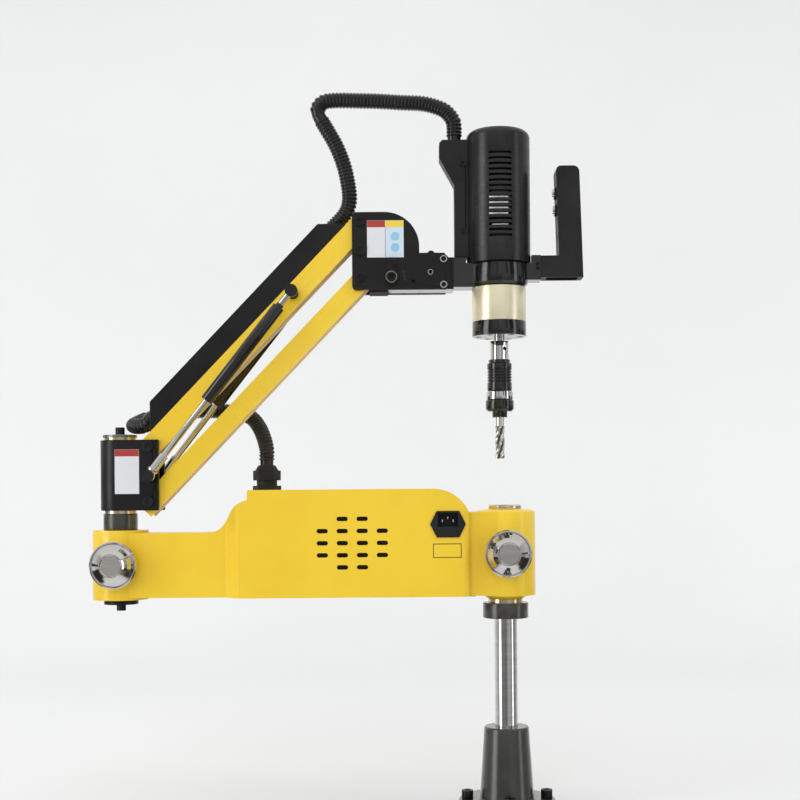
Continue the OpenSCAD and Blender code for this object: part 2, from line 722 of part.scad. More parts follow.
// Mains inlet: hexagonal flange, body with a recess, three pins and three tags behind
module power_inlet() color(black) translate([-inlet_x, -box_w / 2, inlet_z]) difference() {
    union() {
        difference() {
            union() {
                prism_y(-inlet_flange_t, 0) polygon([[-inlet_w / 2, 0], [-inlet_w / 2 + 8.5, inlet_h / 2],
                    [inlet_w / 2 - 8.5, inlet_h / 2], [inlet_w / 2, 0],
                    [inlet_w / 2 - 8.5, -inlet_h / 2], [-inlet_w / 2 + 8.5, -inlet_h / 2]]);
                block([-inlet_body_half, -0.1, inlet_low],
                    [inlet_body_half, inlet_depth + inlet_back, inlet_high]);
            }
            block([-inlet_body_half + 1.5, -inlet_flange_t - cut, inlet_low + 1.5],
                [inlet_body_half - 1.5, inlet_depth - inlet_flange_t, inlet_high - 1.5]);
        }
        for (p = [[-7, 3.8], [0, 8.1], [7, 3.8]]) {
            block([p[0] - 1, inlet_depth - inlet_flange_t - pin_len, p[1] - 2],
                [p[0] + 1, inlet_depth, p[1] + 2]);
            block([p[0] - 0.4, inlet_depth, p[1] - 3], [p[0] + 0.4, inlet_depth + 14, p[1] + 3]);
        }
    }
}

// Gland: hexagonal flange, round neck, hexagonal nut and domed end, bored for the wires
module cable_gland() color(black) translate([gland_x, gland_y, 0]) difference() {
    union() {
        bar_z(gland_hole_r, box_top - 8, box_top + 0.1);
        translate([0, 0, box_top]) cylinder(r = 19, h = 6, $fn = 6);
        bar_z(13.5, box_top + 5.9, box_top + 13.1);
        translate([0, 0, box_top + 13]) cylinder(r = 18.5, h = 13, $fn = 6);
        translate([0, 0, box_top + 26]) cylinder(r1 = 15.5, r2 = hose_r + 1, h = gland_z1 - box_top - 26);
    }
    bar_z(hose_bore / 2, box_top - 9, gland_z1 + cut);
}

// Drive board on four posts on the bottom cover, with heat sink, capacitors and choke
board_x0 = -box_left + 22;
board_x1 = -box_right - 75;
board_z = arm_z + cover_t + 8;
board_t = 1.6;
board_half = box_w / 2 - box_wall - 9.5;
part_half = board_half - 12;
post_inset = 8;
post_r = 3;
sink_len = 80;
sink_base = 12;
fin_h = 26;
fin_w = 2.4;
sink_fins = 10;
choke_len = 40;
choke_h = 26;
can_r = 11;
can_h = 42;
module drive_electronics() color("#2f6b3c") {
    block([board_x0, -board_half, board_z], [board_x1, board_half, board_z + board_t]);
    for (x = [board_x0 + post_inset, board_x1 - post_inset], y = [-1, 1])
        bar_z(post_r, arm_z + cover_t, board_z + 0.1, x, y * (board_half - post_inset));
    for (x = [board_x1 - 2 * can_r, board_x1 - 4.5 * can_r])
        bar_z(can_r, board_z, board_z + can_h, x, board_half - 1.6 * can_r);
    block([board_x1 - 20 - choke_len, -board_half + post_inset, board_z],
        [board_x1 - 20, -4, board_z + choke_h]);
    translate([board_x0 + post_inset, 0, board_z]) {
        block([0, -part_half, 0], [sink_len, part_half, sink_base]);
        for (i = [0:sink_fins - 1]) translate([i * (sink_len - fin_w) / (sink_fins - 1), 0, 0])
            block([0, -part_half, sink_base - 1], [fin_w, part_half, sink_base + fin_h]);
    }
}

// Clamp pad in its hole, and the knob whose screw end sits in the pad
module clamp_pad(x, z, y_tip, y_boss) difference() {
    bar_y(pad_d / 2, y_boss + 6, y_tip, x, z);
    bar_y(3 + run, y_boss, y_boss + 15, x, z);
}
// Outline of a knob from its axis out: back, rim with bead, dished face and cupped middle
knob_r = knob_d / 2;
knob_profile = [[0, 0], [8.5, 0], [8.5, 2.5], [knob_r * 0.5, 4.5], [knob_r * 0.85, 6],
    [knob_r - 1, 7.5], [knob_r, 9],
    [knob_r, 11.5], [knob_r - 1, 12.8], [knob_r - 2.2, 13], [knob_r - 2.8, 12.4],
    [knob_r * 0.8, knob_depth * 0.62], [knob_r * 0.68, knob_depth * 0.8],
    [knob_r * 0.57, knob_depth * 0.93], [knob_r * 0.5, knob_depth], [knob_r * 0.46, knob_depth],
    [knob_r * 0.43, knob_depth - 1], [0, knob_depth - 1]];
module clamp_knob(x, z, y_boss) color(chrome) {
    translate([x, y_boss - 1.5, z]) rotate([90, 0, 0]) rotate_extrude($fn = 96) polygon(knob_profile);
    bar_y(pad_d / 2, y_boss - 1.6, y_boss + 5.7, x, z);
    bar_y(3, y_boss + 5.6, y_boss + 13, x, z);
}
module column_clamp_pad() color(brass) clamp_pad(0, column_knob_z, -column_r - air, column_boss_y);
module column_knob() clamp_knob(0, column_knob_z, column_boss_y);
module elbow_clamp_pad() color(brass) clamp_pad(elbow_x, elbow_knob_z, -shaft_r - air, elbow_boss_y);
module elbow_knob() clamp_knob(elbow_x, elbow_knob_z, elbow_boss_y);

// Pivot block on the elbow's shaft: round at the back, two ears at the front with the links between them
slot_x0 = pivot_a[0] - 21;
block_x1 = pivot_a[0] + ear_past;
module pivot_block() color(black) difference() {
    union() {
        bar_z(ear_out, block_z0, block_z1, elbow_x);
        block([elbow_x, -ear_out, block_z0], [block_x1, ear_out, block_z1]);
    }
    block([slot_x0, -ear_in, block_z0 - cut], [block_x1 + cut, ear_in, block_z1 + cut]);
    bar_z(shaft_r + snug, block_z0 - cut, block_z1 + cut, elbow_x);
    for (p = [pivot_a, pivot_b]) bar_y(pin_r + snug, -ear_out - cut, ear_out + cut, p[0], p[1]);
    bar_y(3 + snug, -ear_out - cut, ear_out + cut, spring_p[0], spring_p[1]);
}

end_bolt_r = 4;
module elbow_shaft() color(steel) difference() {
    bar_z(shaft_r, shaft_z0, shaft_z1, elbow_x);
    bar_z(end_bolt_r + snug, shaft_z1 - 25, shaft_z1 + cut, elbow_x);
    bar_z(end_bolt_r + snug, shaft_z0 - cut, shaft_z0 + 25, elbow_x);
}

// Discs and bolts at both ends of the shaft
module elbow_end_bolts() color(black) {
    cap_screw(elbow_x, 0, shaft_z1 + top_disc_h, 2 * end_bolt_r, 12, 10, top_disc_h + 20);
    difference() {
        bar_z(end_disc_d / 2, shaft_z1, shaft_z1 + top_disc_h, elbow_x);
        bar_z(end_bolt_r + snug, shaft_z1 - cut, shaft_z1 + top_disc_h + cut, elbow_x);
    }
    difference() {
        bar_z(end_disc_d / 2, shaft_z0 - end_disc_h, shaft_z0, elbow_x);
        bar_z(end_bolt_r + snug, shaft_z0 - end_disc_h - cut, shaft_z0 + cut, elbow_x);
    }
    translate([0, 0, shaft_z0 - end_disc_h]) mirror([0, 0, 1])
        cap_screw(elbow_x, 0, 0, 2 * end_bolt_r, 12, 8.5, end_disc_h + 20);
}

module elbow_top_washer() color(brass)
    bush_z(end_disc_d / 2 - 1.5, shaft_r + snug, block_z1, shaft_z1, elbow_x);

module pivot_pins() color(black) for (p = [pivot_a, pivot_b]) {
    front_screw(p[0], p[1], -ear_out, pin_d, 14, 3, 2 * ear_out);
    translate([p[0], ear_out + 5, p[1]]) rotate([90, 0, 0]) cylinder(r = 8.5, h = 5, $fn = 6);
}

module lower_ball_studs() color(chrome) both_sides() {
    bar_y(3, -spring_y + 1, -ear_in - 0.4, spring_p[0], spring_p[1]);
    bar_y(5, -ear_out - 4, -ear_out, spring_p[0], spring_p[1]);
    translate([spring_p[0], -spring_y, spring_p[1]]) sphere(r = p_ball_r, $fn = 32);
}

// Link of folded sheet: two sides, and a web on top; cut square below, round at the head
module link_outline(high) intersection() {
    translate([-13, -link_low]) square([13 + link_len + link_end_r, link_low + high]);
    union() {
        translate([-14, -link_low - 1]) square([14 + link_len, link_low + high + 2]);
        translate([link_len, 0]) circle(r = link_end_r);
    }
}
module link_channel(high, web_from) difference() {
    union() {
        both_sides() prism_y(-link_half, -link_half + sheet_t) link_outline(high);
        block([web_from, -link_half + 0.5, high - sheet_t], [link_len - 6, link_half - 0.5, high]);
    }
    for (s = [0, link_len]) bar_y(bush_r + snug, -link_half - cut, link_half + cut, s, 0);
}
module link_bushes() for (s = [0, link_len]) difference() {
    bar_y(bush_r, -bush_half, bush_half, s, 0);
    bar_y(pin_r + run, -bush_half - cut, bush_half + cut, s, 0);
}
module upper_link() color(yellow) on_pivot(pivot_a) difference() {
    link_channel(upper_high, -3);
    bar_y(4 + snug, -link_half - cut, link_half + cut, spring_reach, 0);
}
module lower_link() color(yellow) on_pivot(pivot_b) link_channel(lower_high, 0);
module upper_link_bushes() color(brass) on_pivot(pivot_a) link_bushes();
module lower_link_bushes() color(brass) on_pivot(pivot_b) link_bushes();

// Cross bar on the upper link with a ball at each end
module upper_ball_studs() color(black) on_pivot(pivot_a) {
    bar_y(4, -spring_y + 7, spring_y - 7, spring_reach, 0);
    both_sides() {
        bar_y(3, -spring_y, -spring_y + 7.1, spring_reach, 0);
        bar_y(7, -link_half - 6, -link_half, spring_reach, 0);
        translate([spring_reach, -spring_y, 0]) sphere(r = q_ball_r, $fn = 32);
    }
}

// Cable cover: channel over the upper link, cut upright at the bottom and level at the top
cover_mouth_x = pivot_a[0] + 1;
cover_end_z = pivot_c[1] - 0.8;
module link_cover() color(black) difference() {
    on_pivot(pivot_a) difference() {
        block([-60, -link_half, upper_high], [link_len + 60, link_half, upper_high + cover_high]);
        block([-61, -link_half + cover_wall, upper_high - cut],
            [link_len + 61, link_half - cover_wall, upper_high + cover_high - cover_wall]);
    }
    block([cover_mouth_x - 200, -link_w, 0], [cover_mouth_x, link_w, plate_z1 + 200]);
    block([elbow_x, -link_w, cover_end_z], [motor_x, link_w, plate_z1 + 200]);
}

// One gas spring along the frame's X axis: socket and tube, and the rod that runs in it
tube_end = tube_start + tube_len;
guide_len = 10;
rod_in = 40;
module spring_tubes() color(black) for (y = [-spring_y, spring_y]) on_spring(y) rotate([0, 90, 0])
    difference() {
    union() {
        bar_z(tube_r, tube_start, tube_end);
        bar_z(tube_r - 3, tube_start - 4, tube_start + 0.1);
    }
    bar_z(tube_r - 1.5, tube_start + 4, tube_end - guide_len);
    bar_z(rod_r + run, tube_end - guide_len - cut, tube_end + cut);
    bar_z(2.5 + snug, tube_start - 5, tube_start + 4 - cut);
}
module spring_sockets() color(chrome) for (y = [-spring_y, spring_y]) on_spring(y) difference() {
    union() {
        bar_y(socket_r, -socket_half, socket_half, 0, 0);
        rotate([0, 90, 0]) bar_z(4.5, 0, tube_start - 4);
        rotate([0, 90, 0]) bar_z(2.5, tube_start - 5, tube_start + 2.5);
    }
    if (y < 0) bar_y(q_ball_r + run, -3.5 - cut, socket_half + cut, 0, 0);
    else bar_y(q_ball_r + run, -socket_half - cut, 3.5 + cut, 0, 0);
}
module spring_rods() color(chrome) for (y = [-spring_y, spring_y]) on_spring(y) difference() {
    union() {
        rotate([0, 90, 0]) {
            bar_z(rod_r, tube_end - rod_in, spring_len);
            bar_z(tube_r - 1.5 - run, tube_end - rod_in, tube_end - rod_in + 8);
            bar_z(5.8, spring_len - 33, spring_len - socket_r + 1);
            bar_z(7, spring_len - socket_r - 3, spring_len - socket_r);
        }
        bar_y(socket_r, -socket_half, socket_half, spring_len, 0);
    }
    if (y < 0) bar_y(p_cavity_r, -4.5, socket_half + cut, spring_len, 0);
    else bar_y(p_cavity_r, -socket_half - cut, 4.5, spring_len, 0);
}

// Side outline of a head plate: big round corner at the top, and a tongue with cut corners
bump_r = 5;
module plate_outline() polygon(concat(
    arc(plate_x0 + 5, plate_z0 + 5, 5, 270, 180, 5),
    arc(plate_x0 + 5, plate_z1 - 5, 5, 180, 90, 5),
    arc(tongue_x - plate_corner_r, plate_z1 - plate_corner_r, plate_corner_r, 90, 0, 14),
    [[tongue_x, tongue_top]],
    arc(tongue_x + 15, tongue_top - 2, bump_r, 155, 25, 6),
    [[tongue_end - 7, tongue_top], [tongue_end, tongue_top - 8],
     [tongue_end, plate_z0 + 5], [tongue_end - 5, plate_z0]]));
mid_screw_z = (pivot_c[1] + pivot_d[1]) / 2;
end_screw_x = tilt_x + 67;
end_screw_z = [tilt_z + 24, tilt_z - 9];
module plate_holes() {
    for (p = [pivot_c, pivot_d]) bar_y(pin_r + snug, -plate_out - cut, plate_out + cut, p[0], p[1]);
    bar_y(4 + snug, -plate_out - cut, plate_out + cut, pivot_c[0], mid_screw_z);
    bar_y(tilt_r + run, -plate_out - cut, plate_out + cut, tilt_x, tilt_z);
    for (z = end_screw_z) bar_y(3 + snug, -plate_out - cut, plate_out + cut, end_screw_x, z);
    bar_y(2.6, -plate_out - cut, -plate_in + cut, tilt_x + 28, tilt_z - 5);
    bar_y(2.5, -plate_out - cut, -plate_in + cut, tilt_x + 51.5, tilt_z + 9);
}
module head_plates() color(black) difference() {
    both_sides() prism_y(-plate_out, -plate_in) plate_outline();
    plate_holes();
}

// Web between the plates, with a stop flange below that carries the tilting block
module head_spacer() color(black) {
    block([tilt_x - 25, -plate_in, plate_z0], [tilt_x - 17, plate_in, plate_z0 + 82]);
    block([tilt_x - 29, -plate_in, plate_z0 - 2], [tilt_x - 5, plate_in, plate_z0 + 0.5]);
}

// Pins of the links, short screws in the plates, and the nut behind the tilt screw
module head_pins() color(black) {
    for (p = [pivot_c, pivot_d]) front_screw(p[0], p[1], -plate_out, pin_d, 12, 2.5, 2 * plate_out + 3);
    both_sides() front_screw(pivot_c[0], mid_screw_z, -plate_out, 8, 16, 3, plate_t);
    both_sides() for (z = end_screw_z) front_screw(end_screw_x, z, -plate_out, 6, 10, 2, plate_t);
    difference() {
        translate([tilt_x, plate_out + 8, tilt_z]) rotate([90, 0, 0]) cylinder(r = 9.2, h = 8, $fn = 6);
        bar_y(tilt_r + run, plate_out - cut, plate_out + 8 + cut, tilt_x, tilt_z);
    }
}

// Tilt screw with a washer and a lever that points up
lever_len = 24;
module tilt_lever() color(black) {
    bar_y(tilt_r, -plate_out - 3, plate_out + 11, tilt_x, tilt_z);
    bar_y(10, -plate_out - 2.2, -plate_out - 0.2, tilt_x, tilt_z);
    difference() {
        union() {
            bar_y(8, -plate_out - 11, -plate_out - 2.1, tilt_x, tilt_z);
            prism_y(-plate_out - 9, -plate_out - 3) polygon([[tilt_x - 7, tilt_z], [tilt_x + 7, tilt_z],
                [tilt_x + 5, tilt_z + lever_len], [tilt_x - 4, tilt_z + lever_len]]);
        }
        translate([tilt_x, -plate_out - 7, tilt_z]) rotate([90, 0, 0]) cylinder(r = 3.8, h = 6, $fn = 6);
    }
}

// Block that tilts between the plates, with a raised shoulder at its front end
shoulder_len = 14;
module tilt_block() color(steel) difference() {
    union() {
        bar_y(tilt_end_r, -tilt_half, tilt_half, tilt_x, tilt_z);
        block([tilt_x, -tilt_half, tilt_z - tilt_end_r], [neck_x, tilt_half, tilt_z + tilt_end_r]);
        block([neck_x - shoulder_len, -tilt_half, tilt_z], [neck_x, tilt_half, motor_z0 + 7]);
    }
    bar_y(tilt_r + run, -tilt_half - cut, tilt_half + cut, tilt_x, tilt_z);
    for (z = neck_screw_z) translate([neck_x - 20, 0, z]) rotate([0, 90, 0]) cylinder(r = 3 + snug, h = 21);
}
neck_screw_z = [tilt_z - 6, tilt_z + 8];

// Ring between motor and gearbox, with the neck to the tilting block and the lug of the handle
lug_half = 13;
clamp_slope = 5;
ring_bore = 24;
handle_screw_z = [handle_z0 + 12, handle_z0 + 18];
module motor_clamp() color(black) difference() {
    union() {
        bar_z(clamp_r, clamp_z0 + clamp_slope, motor_z0, motor_x);
        translate([motor_x, 0, clamp_z0])
            cylinder(r1 = clamp_r - clamp_slope, r2 = clamp_r, h = clamp_slope + 0.01);
        block([neck_x, -neck_half, clamp_z0], [motor_x - 30, neck_half, motor_z0]);
        block([neck_x, -neck_half, motor_z0 - cut], [motor_x - motor_r - 2, neck_half, motor_z0 + 7]);
        block([lug_x0, -lug_half, handle_z0 - 3], [lug_x1, lug_half, motor_z0]);
        block([motor_x + motor_r + 0.5, -lug_half, motor_z0 - cut], [lug_x1, lug_half, handle_z1 + 1]);
    }
    bar_z(ring_bore, clamp_z0 - cut, motor_z0 + cut, motor_x);
    for (z = handle_screw_z) bar_y(1.8 + snug, -lug_half - cut, -lug_half + 8, lug_x1 - 4, z);
    for (z = neck_screw_z) translate([neck_x - cut, 0, z]) rotate([0, 90, 0])
        cylinder(r = 3 + snug, h = 13);
}

// Motor cover: thin shell with a rounded top and rows of slots in front and behind
slot_count = 16;
slot_z0 = motor_z0 + 30;
module motor_cover() color(black) difference() {
    translate([motor_x, 0, 0]) rotate_extrude($fn = 128) polygon(concat(
        [[motor_r - motor_wall, motor_z0], [motor_r, motor_z0]],
        arc(motor_r - motor_round, motor_z1 - motor_round, motor_round, 0, 90, 10),
        [[0, motor_z1], [0, motor_z1 - motor_wall]],
        arc(motor_r - motor_round, motor_z1 - motor_round, motor_round - motor_wall, 90, 0, 10)));
    for (i = [0:slot_count - 1], s = [-1, 1]) let (z = slot_z0 + i * motor_slot_pitch)
        block([motor_x - motor_slot_w / 2, s * motor_r - 13, z],
            [motor_x + motor_slot_w / 2, s * motor_r + 8, z + motor_slot_h]);
}

// Finned motor body inside the cover: fins outside, bore for the rotor, an end plate at each end
fin_n = 18;
fin_depth = 5;
fin_pitch = (stator_z1 - motor_z0 - 12) / fin_n;
module motor_body() color(steel) translate([motor_x, 0, 0]) rotate_extrude($fn = 96) polygon(concat(
    [[rotor_shaft_r + run, motor_z0], [stator_r, motor_z0], [stator_r, motor_z0 + 4]],
    [for (i = [0:fin_n - 1], k = [0:3]) [stator_r - (k == 0 || k == 3 ? fin_depth : 0),
        motor_z0 + 8 + (i + [0, 0.02, 0.5, 0.52][k]) * fin_pitch]],
    [[stator_r - fin_depth, stator_z1], [rotor_shaft_r + run, stator_z1],
     [rotor_shaft_r + run, stator_z1 - stator_plate], [stator_bore, stator_z1 - stator_plate],
     [stator_bore, motor_z0 + stator_plate], [rotor_shaft_r + run, motor_z0 + stator_plate]]));

// Cable box beside the motor: wide at the top where the hose goes in, narrow below
module box_outline(t) polygon([[box_x1 + t, box_z0 + t], [box_x1 + t, box_z1 - 59],
    [box_x0 + t, box_z1 - 24],
    [box_x0 + t, box_z1 - 4], [box_x0 + 4, box_z1 - t], [motor_x, box_z1 - t], [motor_x, box_z0 + t]]);
module cable_box() color(black) difference() {
    prism_y(-cable_half, cable_half) box_outline(0);
    bar_z(motor_r + snug, box_z0 - cut, box_z1 + cut, motor_x);
    difference() {
        prism_y(-cable_half + cable_wall, cable_half - cable_wall) box_outline(cable_wall);
        bar_z(motor_r + cable_wall, box_z0 - cut, box_z1 + cut, motor_x);
    }
    bar_z(hose_bore / 2, box_z1 - 2 * cable_wall, box_z1 + cut, hose_drop_x);
    for (p = cable_screw_at) bar_y(2 + snug, -cable_half - cut, -cable_half + cable_wall + cut, p[0], p[1]);
}
cable_screw_at = [[motor_x - motor_r - 4.5, box_z1 - 31], [motor_x - motor_r - 4.5, box_z0 + 34]];

// Handle: arm from the lug, hollow below, and an upright grip bored for the two buttons
handle_end = lug_x1;
function grip_face(z) = grip_x0 - grip_lean * (z - handle_z1) / grip_h;
module handle_outline() polygon(concat([[handle_end, handle_z0], [grip_x1 + 1.5, handle_z0]],
    arc(grip_x1 - grip_lean - 8, grip_z1 - 8, 8, 0, 90, 6),
    arc(grip_x0 - grip_lean + 6, grip_z1 - 6, 6, 90, 180, 5),
    [[grip_x0, handle_z1], [handle_end, handle_z1]]));
module handle_plan() translate([handle_end, -grip_depth / 2]) {
    square([grip_x1 + 3 - handle_end - 6, grip_depth]);
    translate([0, 6]) square([grip_x1 + 3 - handle_end, grip_depth - 12]);
    for (y = [6, grip_depth - 6]) translate([grip_x1 + 3 - handle_end - 6, y]) circle(r = 6);
}
upper_button_z = handle_z1 + button_rise;
lower_button_z = upper_button_z - button_pitch;
module handle() color(black) difference() {
    intersection() {
        prism_y(-grip_depth, grip_depth) handle_outline();
        translate([0, 0, handle_z0 - cut])
            linear_extrude(height = grip_z1 - handle_z0 + 2 * cut) handle_plan();
    }
    block([handle_end + 8, -grip_depth / 2 + 3, handle_z0 - cut],
        [grip_x1 - 5, grip_depth / 2 - 3, handle_z0 + 12]);
    for (z = [upper_button_z, lower_button_z]) translate([grip_face(z) - 5, 0, z]) rotate([0, 90, 0])
        cylinder(r = button_r + run, h = 5 + 14);
}
// Push button that stands out of the grip, and slides in
module push_button(z) color(chrome) translate([grip_face(z) - button_out, 0, z]) rotate([0, 90, 0])
    cylinder(r = button_r, h = button_out + 14 - button_travel - 1);
module upper_button() push_button(upper_button_z);
module lower_button() push_button(lower_button_z);

// Screws of the lug, the cable box, the neck and the output flange
out_screw_circle = 27;
out_screw_angles = [0:60:300];
module tilt_head_screws() color(black) {
    for (z = handle_screw_z) front_screw(lug_x1 - 4, z, -lug_half, 3.6, 5, 1, 7);
    for (p = cable_screw_at) front_screw(p[0], p[1], -cable_half, 4, 8, 2, cable_wall);
    for (z = neck_screw_z) translate([neck_x - 19, 0, z]) rotate([0, 90, 0]) cylinder(r = 3, h = 30);
    for (a = out_screw_angles) translate([motor_x, 0, 0]) rotate(a)
        translate([0, 0, out_z0 + 5]) mirror([0, 0, 1])
            cap_screw(out_screw_circle, 0, 0, 4, 7.4, 4, out_flange_h - 5);
}

// Tooth flank: half angle of a tooth at radius r, for pitch radius p and n teeth, with a 20 degree involute
function inv(a) = tan(a) * 180 / PI - a;
function tooth_half(r, p, n, slack) = let (base = p * cos(20), a = r > base ? acos(base / r) : 0)
    90 / n - slack + inv(20) - inv(a);
// Outline of a gear with n teeth of module m; one tooth points along X
function gear_pts(n, m, add, ded, slack) = let (p = n * m / 2, r0 = p - ded * m, r1 = p + add * m, k = 4)
    [for (t = [0:n - 1], side = [-1, 1], j = [0:k])
        let (r = side < 0 ? r0 + (r1 - r0) * j / k : r1 - (r1 - r0) * j / k,
             a = t * 360 / n + side * tooth_half(r, p, n, slack))
        [r * cos(a), r * sin(a)]];
module gear(n, m, h) linear_extrude(height = h) polygon(gear_pts(n, m, 1, 1.2, 0.25));

// Gearbox case with the ring gear's teeth cut in its bore; the ring has a tooth, not a space, on X
module gearbox_case() color("#cfc39a") translate([motor_x, 0, 0]) difference() {
    bar_z(gearbox_r, gear_z0, gear_z1, 0);
    bar_z(gear_room_r + 2.5 * gear_module, gear_z0 - cut, mesh_z0 - 0.3);
    bar_z(gear_room_r - 0.5, mesh_z0 - cut, gear_z1 - 6);
    translate([0, 0, mesh_z0 - 0.4]) linear_extrude(height = gear_h + 0.8) rotate(180 / ring_teeth)
        polygon(gear_pts(ring_teeth, gear_module, 1.25, 0.8, -0.1));
    bar_z(rotor_shaft_r + 0.5, gear_z1 - 7, gear_z1 + cut);
}

module planet_gear(i) color(steel) translate([motor_x, 0, mesh_z0]) rotate(120 * (i - 1))
    translate([planet_orbit, 0, 0]) difference() {
        rotate(mesh_turn) gear(sun_teeth, gear_module, gear_h);
        bar_z(planet_pin_r + run, -cut, gear_h + cut);
    }
module planet_gear_1() planet_gear(1);
module planet_gear_2() planet_gear(2);
module planet_gear_3() planet_gear(3);

// Rotor with its shaft and the sun gear at the shaft's lower end
module motor_rotor() color("#8f5b2e") translate([motor_x, 0, 0]) {
    bar_z(rotor_shaft_r, mesh_z0 + gear_h - 0.1, stator_z1 - 0.5);
    bar_z(rotor_r, motor_z0 + stator_plate + 6, stator_z1 - stator_plate - 6);
    translate([0, 0, mesh_z0 + 0.3]) gear(sun_teeth, gear_module, gear_h);
}

module output_flange() color("#26272a") translate([motor_x, 0, 0]) difference() {
    bar_z(gearbox_d / 2, out_z0, gear_z0);
    bar_z(output_r + run, out_z0 - cut, gear_z0 + cut);
    for (a = out_screw_angles) rotate(a) {
        bar_z(2 + snug, out_z0 - cut, gear_z0 + cut, out_screw_circle);
        bar_z(3.9, out_z0 - cut, out_z0 + 5, out_screw_circle);
    }
}

// Output shaft: planet carrier with three pins, and the shaft down into the tool adapter
module output_shaft() color(steel) translate([motor_x, 0, 0]) {
    bar_z(gear_room_r + 1.5 * gear_module, carrier_z0, carrier_z1);
    for (a = [0, 120, 240]) rotate(a) bar_z(planet_pin_r, carrier_z1 - 0.1, mesh_z1 + 0.5, planet_orbit);
    bar_z(output_r, adapter_z1 - 18, carrier_z0 + 0.1);
}

// Tool adapter: neck with a cross hole, a body for the release sleeve, a ring, and a spigot for the nut
set_screw_turn = 32;
module tool_adapter() color(chrome) translate([motor_x, 0, 0]) difference() {
    union() {
        bar_z(adapter_r, ring_z1 - cut, adapter_z1);
        rotate_extrude() polygon([[0, ring_z0], [ring_d / 2 - 1, ring_z0], [ring_d / 2, ring_z0 + 1],
            [ring_d / 2, ring_z1 - 1], [ring_d / 2 - 1, ring_z1], [0, ring_z1]]);
        bar_z(spigot_out_r, nut_z0 + 3, ring_z0 + cut);
    }
    bar_z(output_r + snug, adapter_z1 - 18, adapter_z1 + cut);
    bar_z(collet_body_r + 0.1, nut_z0 + 2, ring_z0 + cut);
    bar_z(shank_r + 0.5, nut_z0 + 2, ring_z1 + 4);
    rotate(set_screw_turn) bar_y(2.6, -adapter_r - cut, -output_r - 0.3, 0, adapter_z1 - 10);
}

// Release sleeve with grooves round it, sliding on the adapter's body
groove_d = 1.2;
module release_sleeve() color(black) translate([motor_x, 0, 0]) rotate_extrude() polygon(concat(
    [[adapter_r + run, sleeve_z0], [sleeve_d / 2 - 1, sleeve_z0], [sleeve_d / 2, sleeve_z0 + 1]],
    [for (i = [0:4], k = [0:3]) [sleeve_d / 2 - (k == 1 || k == 2 ? groove_d : 0),
        sleeve_z0 + sleeve_len * 0.28 + i * sleeve_len * 0.09 + [0, 0.6, 1.6, 2.2][k]]],
    [[sleeve_d / 2, sleeve_z1 - 5], [sleeve_d / 2 - 2, sleeve_z1 - 4], [sleeve_d / 2 - 2, sleeve_z1],
     [adapter_r + run, sleeve_z1]]));

// Collet nut with its collet: the collet's end below the nut is slit six times
module collet_nut() color("#202124") translate([motor_x, 0, 0]) difference() {
    union() {
        difference() {
            rotate_extrude() polygon([[0, nut_z0], [nut_d / 2 - 3, nut_z0], [nut_d / 2, nut_z0 + 3],
                [nut_d / 2, ring_z0 - 1.2], [nut_d / 2 - 1, ring_z0 - 0.2], [0, ring_z0 - 0.2]]);
            bar_z(spigot_out_r + snug, nut_z0 + 2.9, ring_z0 + cut);
        }
        bar_z(collet_body_r, nut_z0 + 2, ring_z0 - 0.5);
        bar_z(collet_d / 2, collet_z0, nut_z0 + 1);
    }
    bar_z(shank_r + snug, collet_z0 - cut, ring_z0 + cut);
    for (a = [0:60:300]) rotate(a)
        block([shank_r - cut, -0.7, collet_z0 - cut], [collet_d, 0.7, nut_z0 - 1.5]);
}

// Cutter: round shank and four helical flutes
flute_turn = 170;
flute_pts = [for (f = [0:3], q = [0:5])
    let (r = flute_d / 2 * [1, 0.97, 0.86, 0.66, 0.6, 0.74][q], a = 90 * f + [0, 14, 30, 46, 62, 78][q])
    [r * cos(a), r * sin(a)]];
module cutter() color(chrome) translate([motor_x, 0, 0]) {
    bar_z(shank_r, flute_z1, ring_z0 - cut);
    translate([0, 0, flute_z0])
        linear_extrude(height = flute_len + 0.1, twist = -flute_turn, slices = 20) polygon(flute_pts);
}

// Smooth curve through a route's points, and its length measured point by point
function curve(p, m = 8) = [for (i = [0:len(p) - 2], j = [0:m - 1])
    let (t = j / m, a = p[max(i - 1, 0)], b = p[i], c = p[i + 1], d = p[min(i + 2, len(p) - 1)])
    0.5 * (2 * b + (c - a) * t + (2 * a - 5 * b + 4 * c - d) * t * t + (3 * b - a - 3 * c + d) * t * t * t),
    p[len(p) - 1]];
function lengths(c) = [for (i = 0, s = 0; i < len(c);
    i = i + 1, s = s + (i < len(c) ? norm(c[i] - c[i - 1]) : 0)) s];
function table(c, s, k) = [for (i = [0:len(c) - 1]) [s[i], c[i][k]]];
function unit(v) = v / norm(v);
function square_to(v, t) = unit(v - (v * t) * t);
// Directions square to the curve, carried along it without twist
function carried(t, first) = [for (i = 0, u = square_to(first, t[0]); i < len(t);
    i = i + 1, u = square_to(u, t[min(i, len(t) - 1)])) u];
function ring_pts(c, u, w, r) = [for (k = [0:7]) c + r * (cos(45 * k) * u + sin(45 * k) * w)];

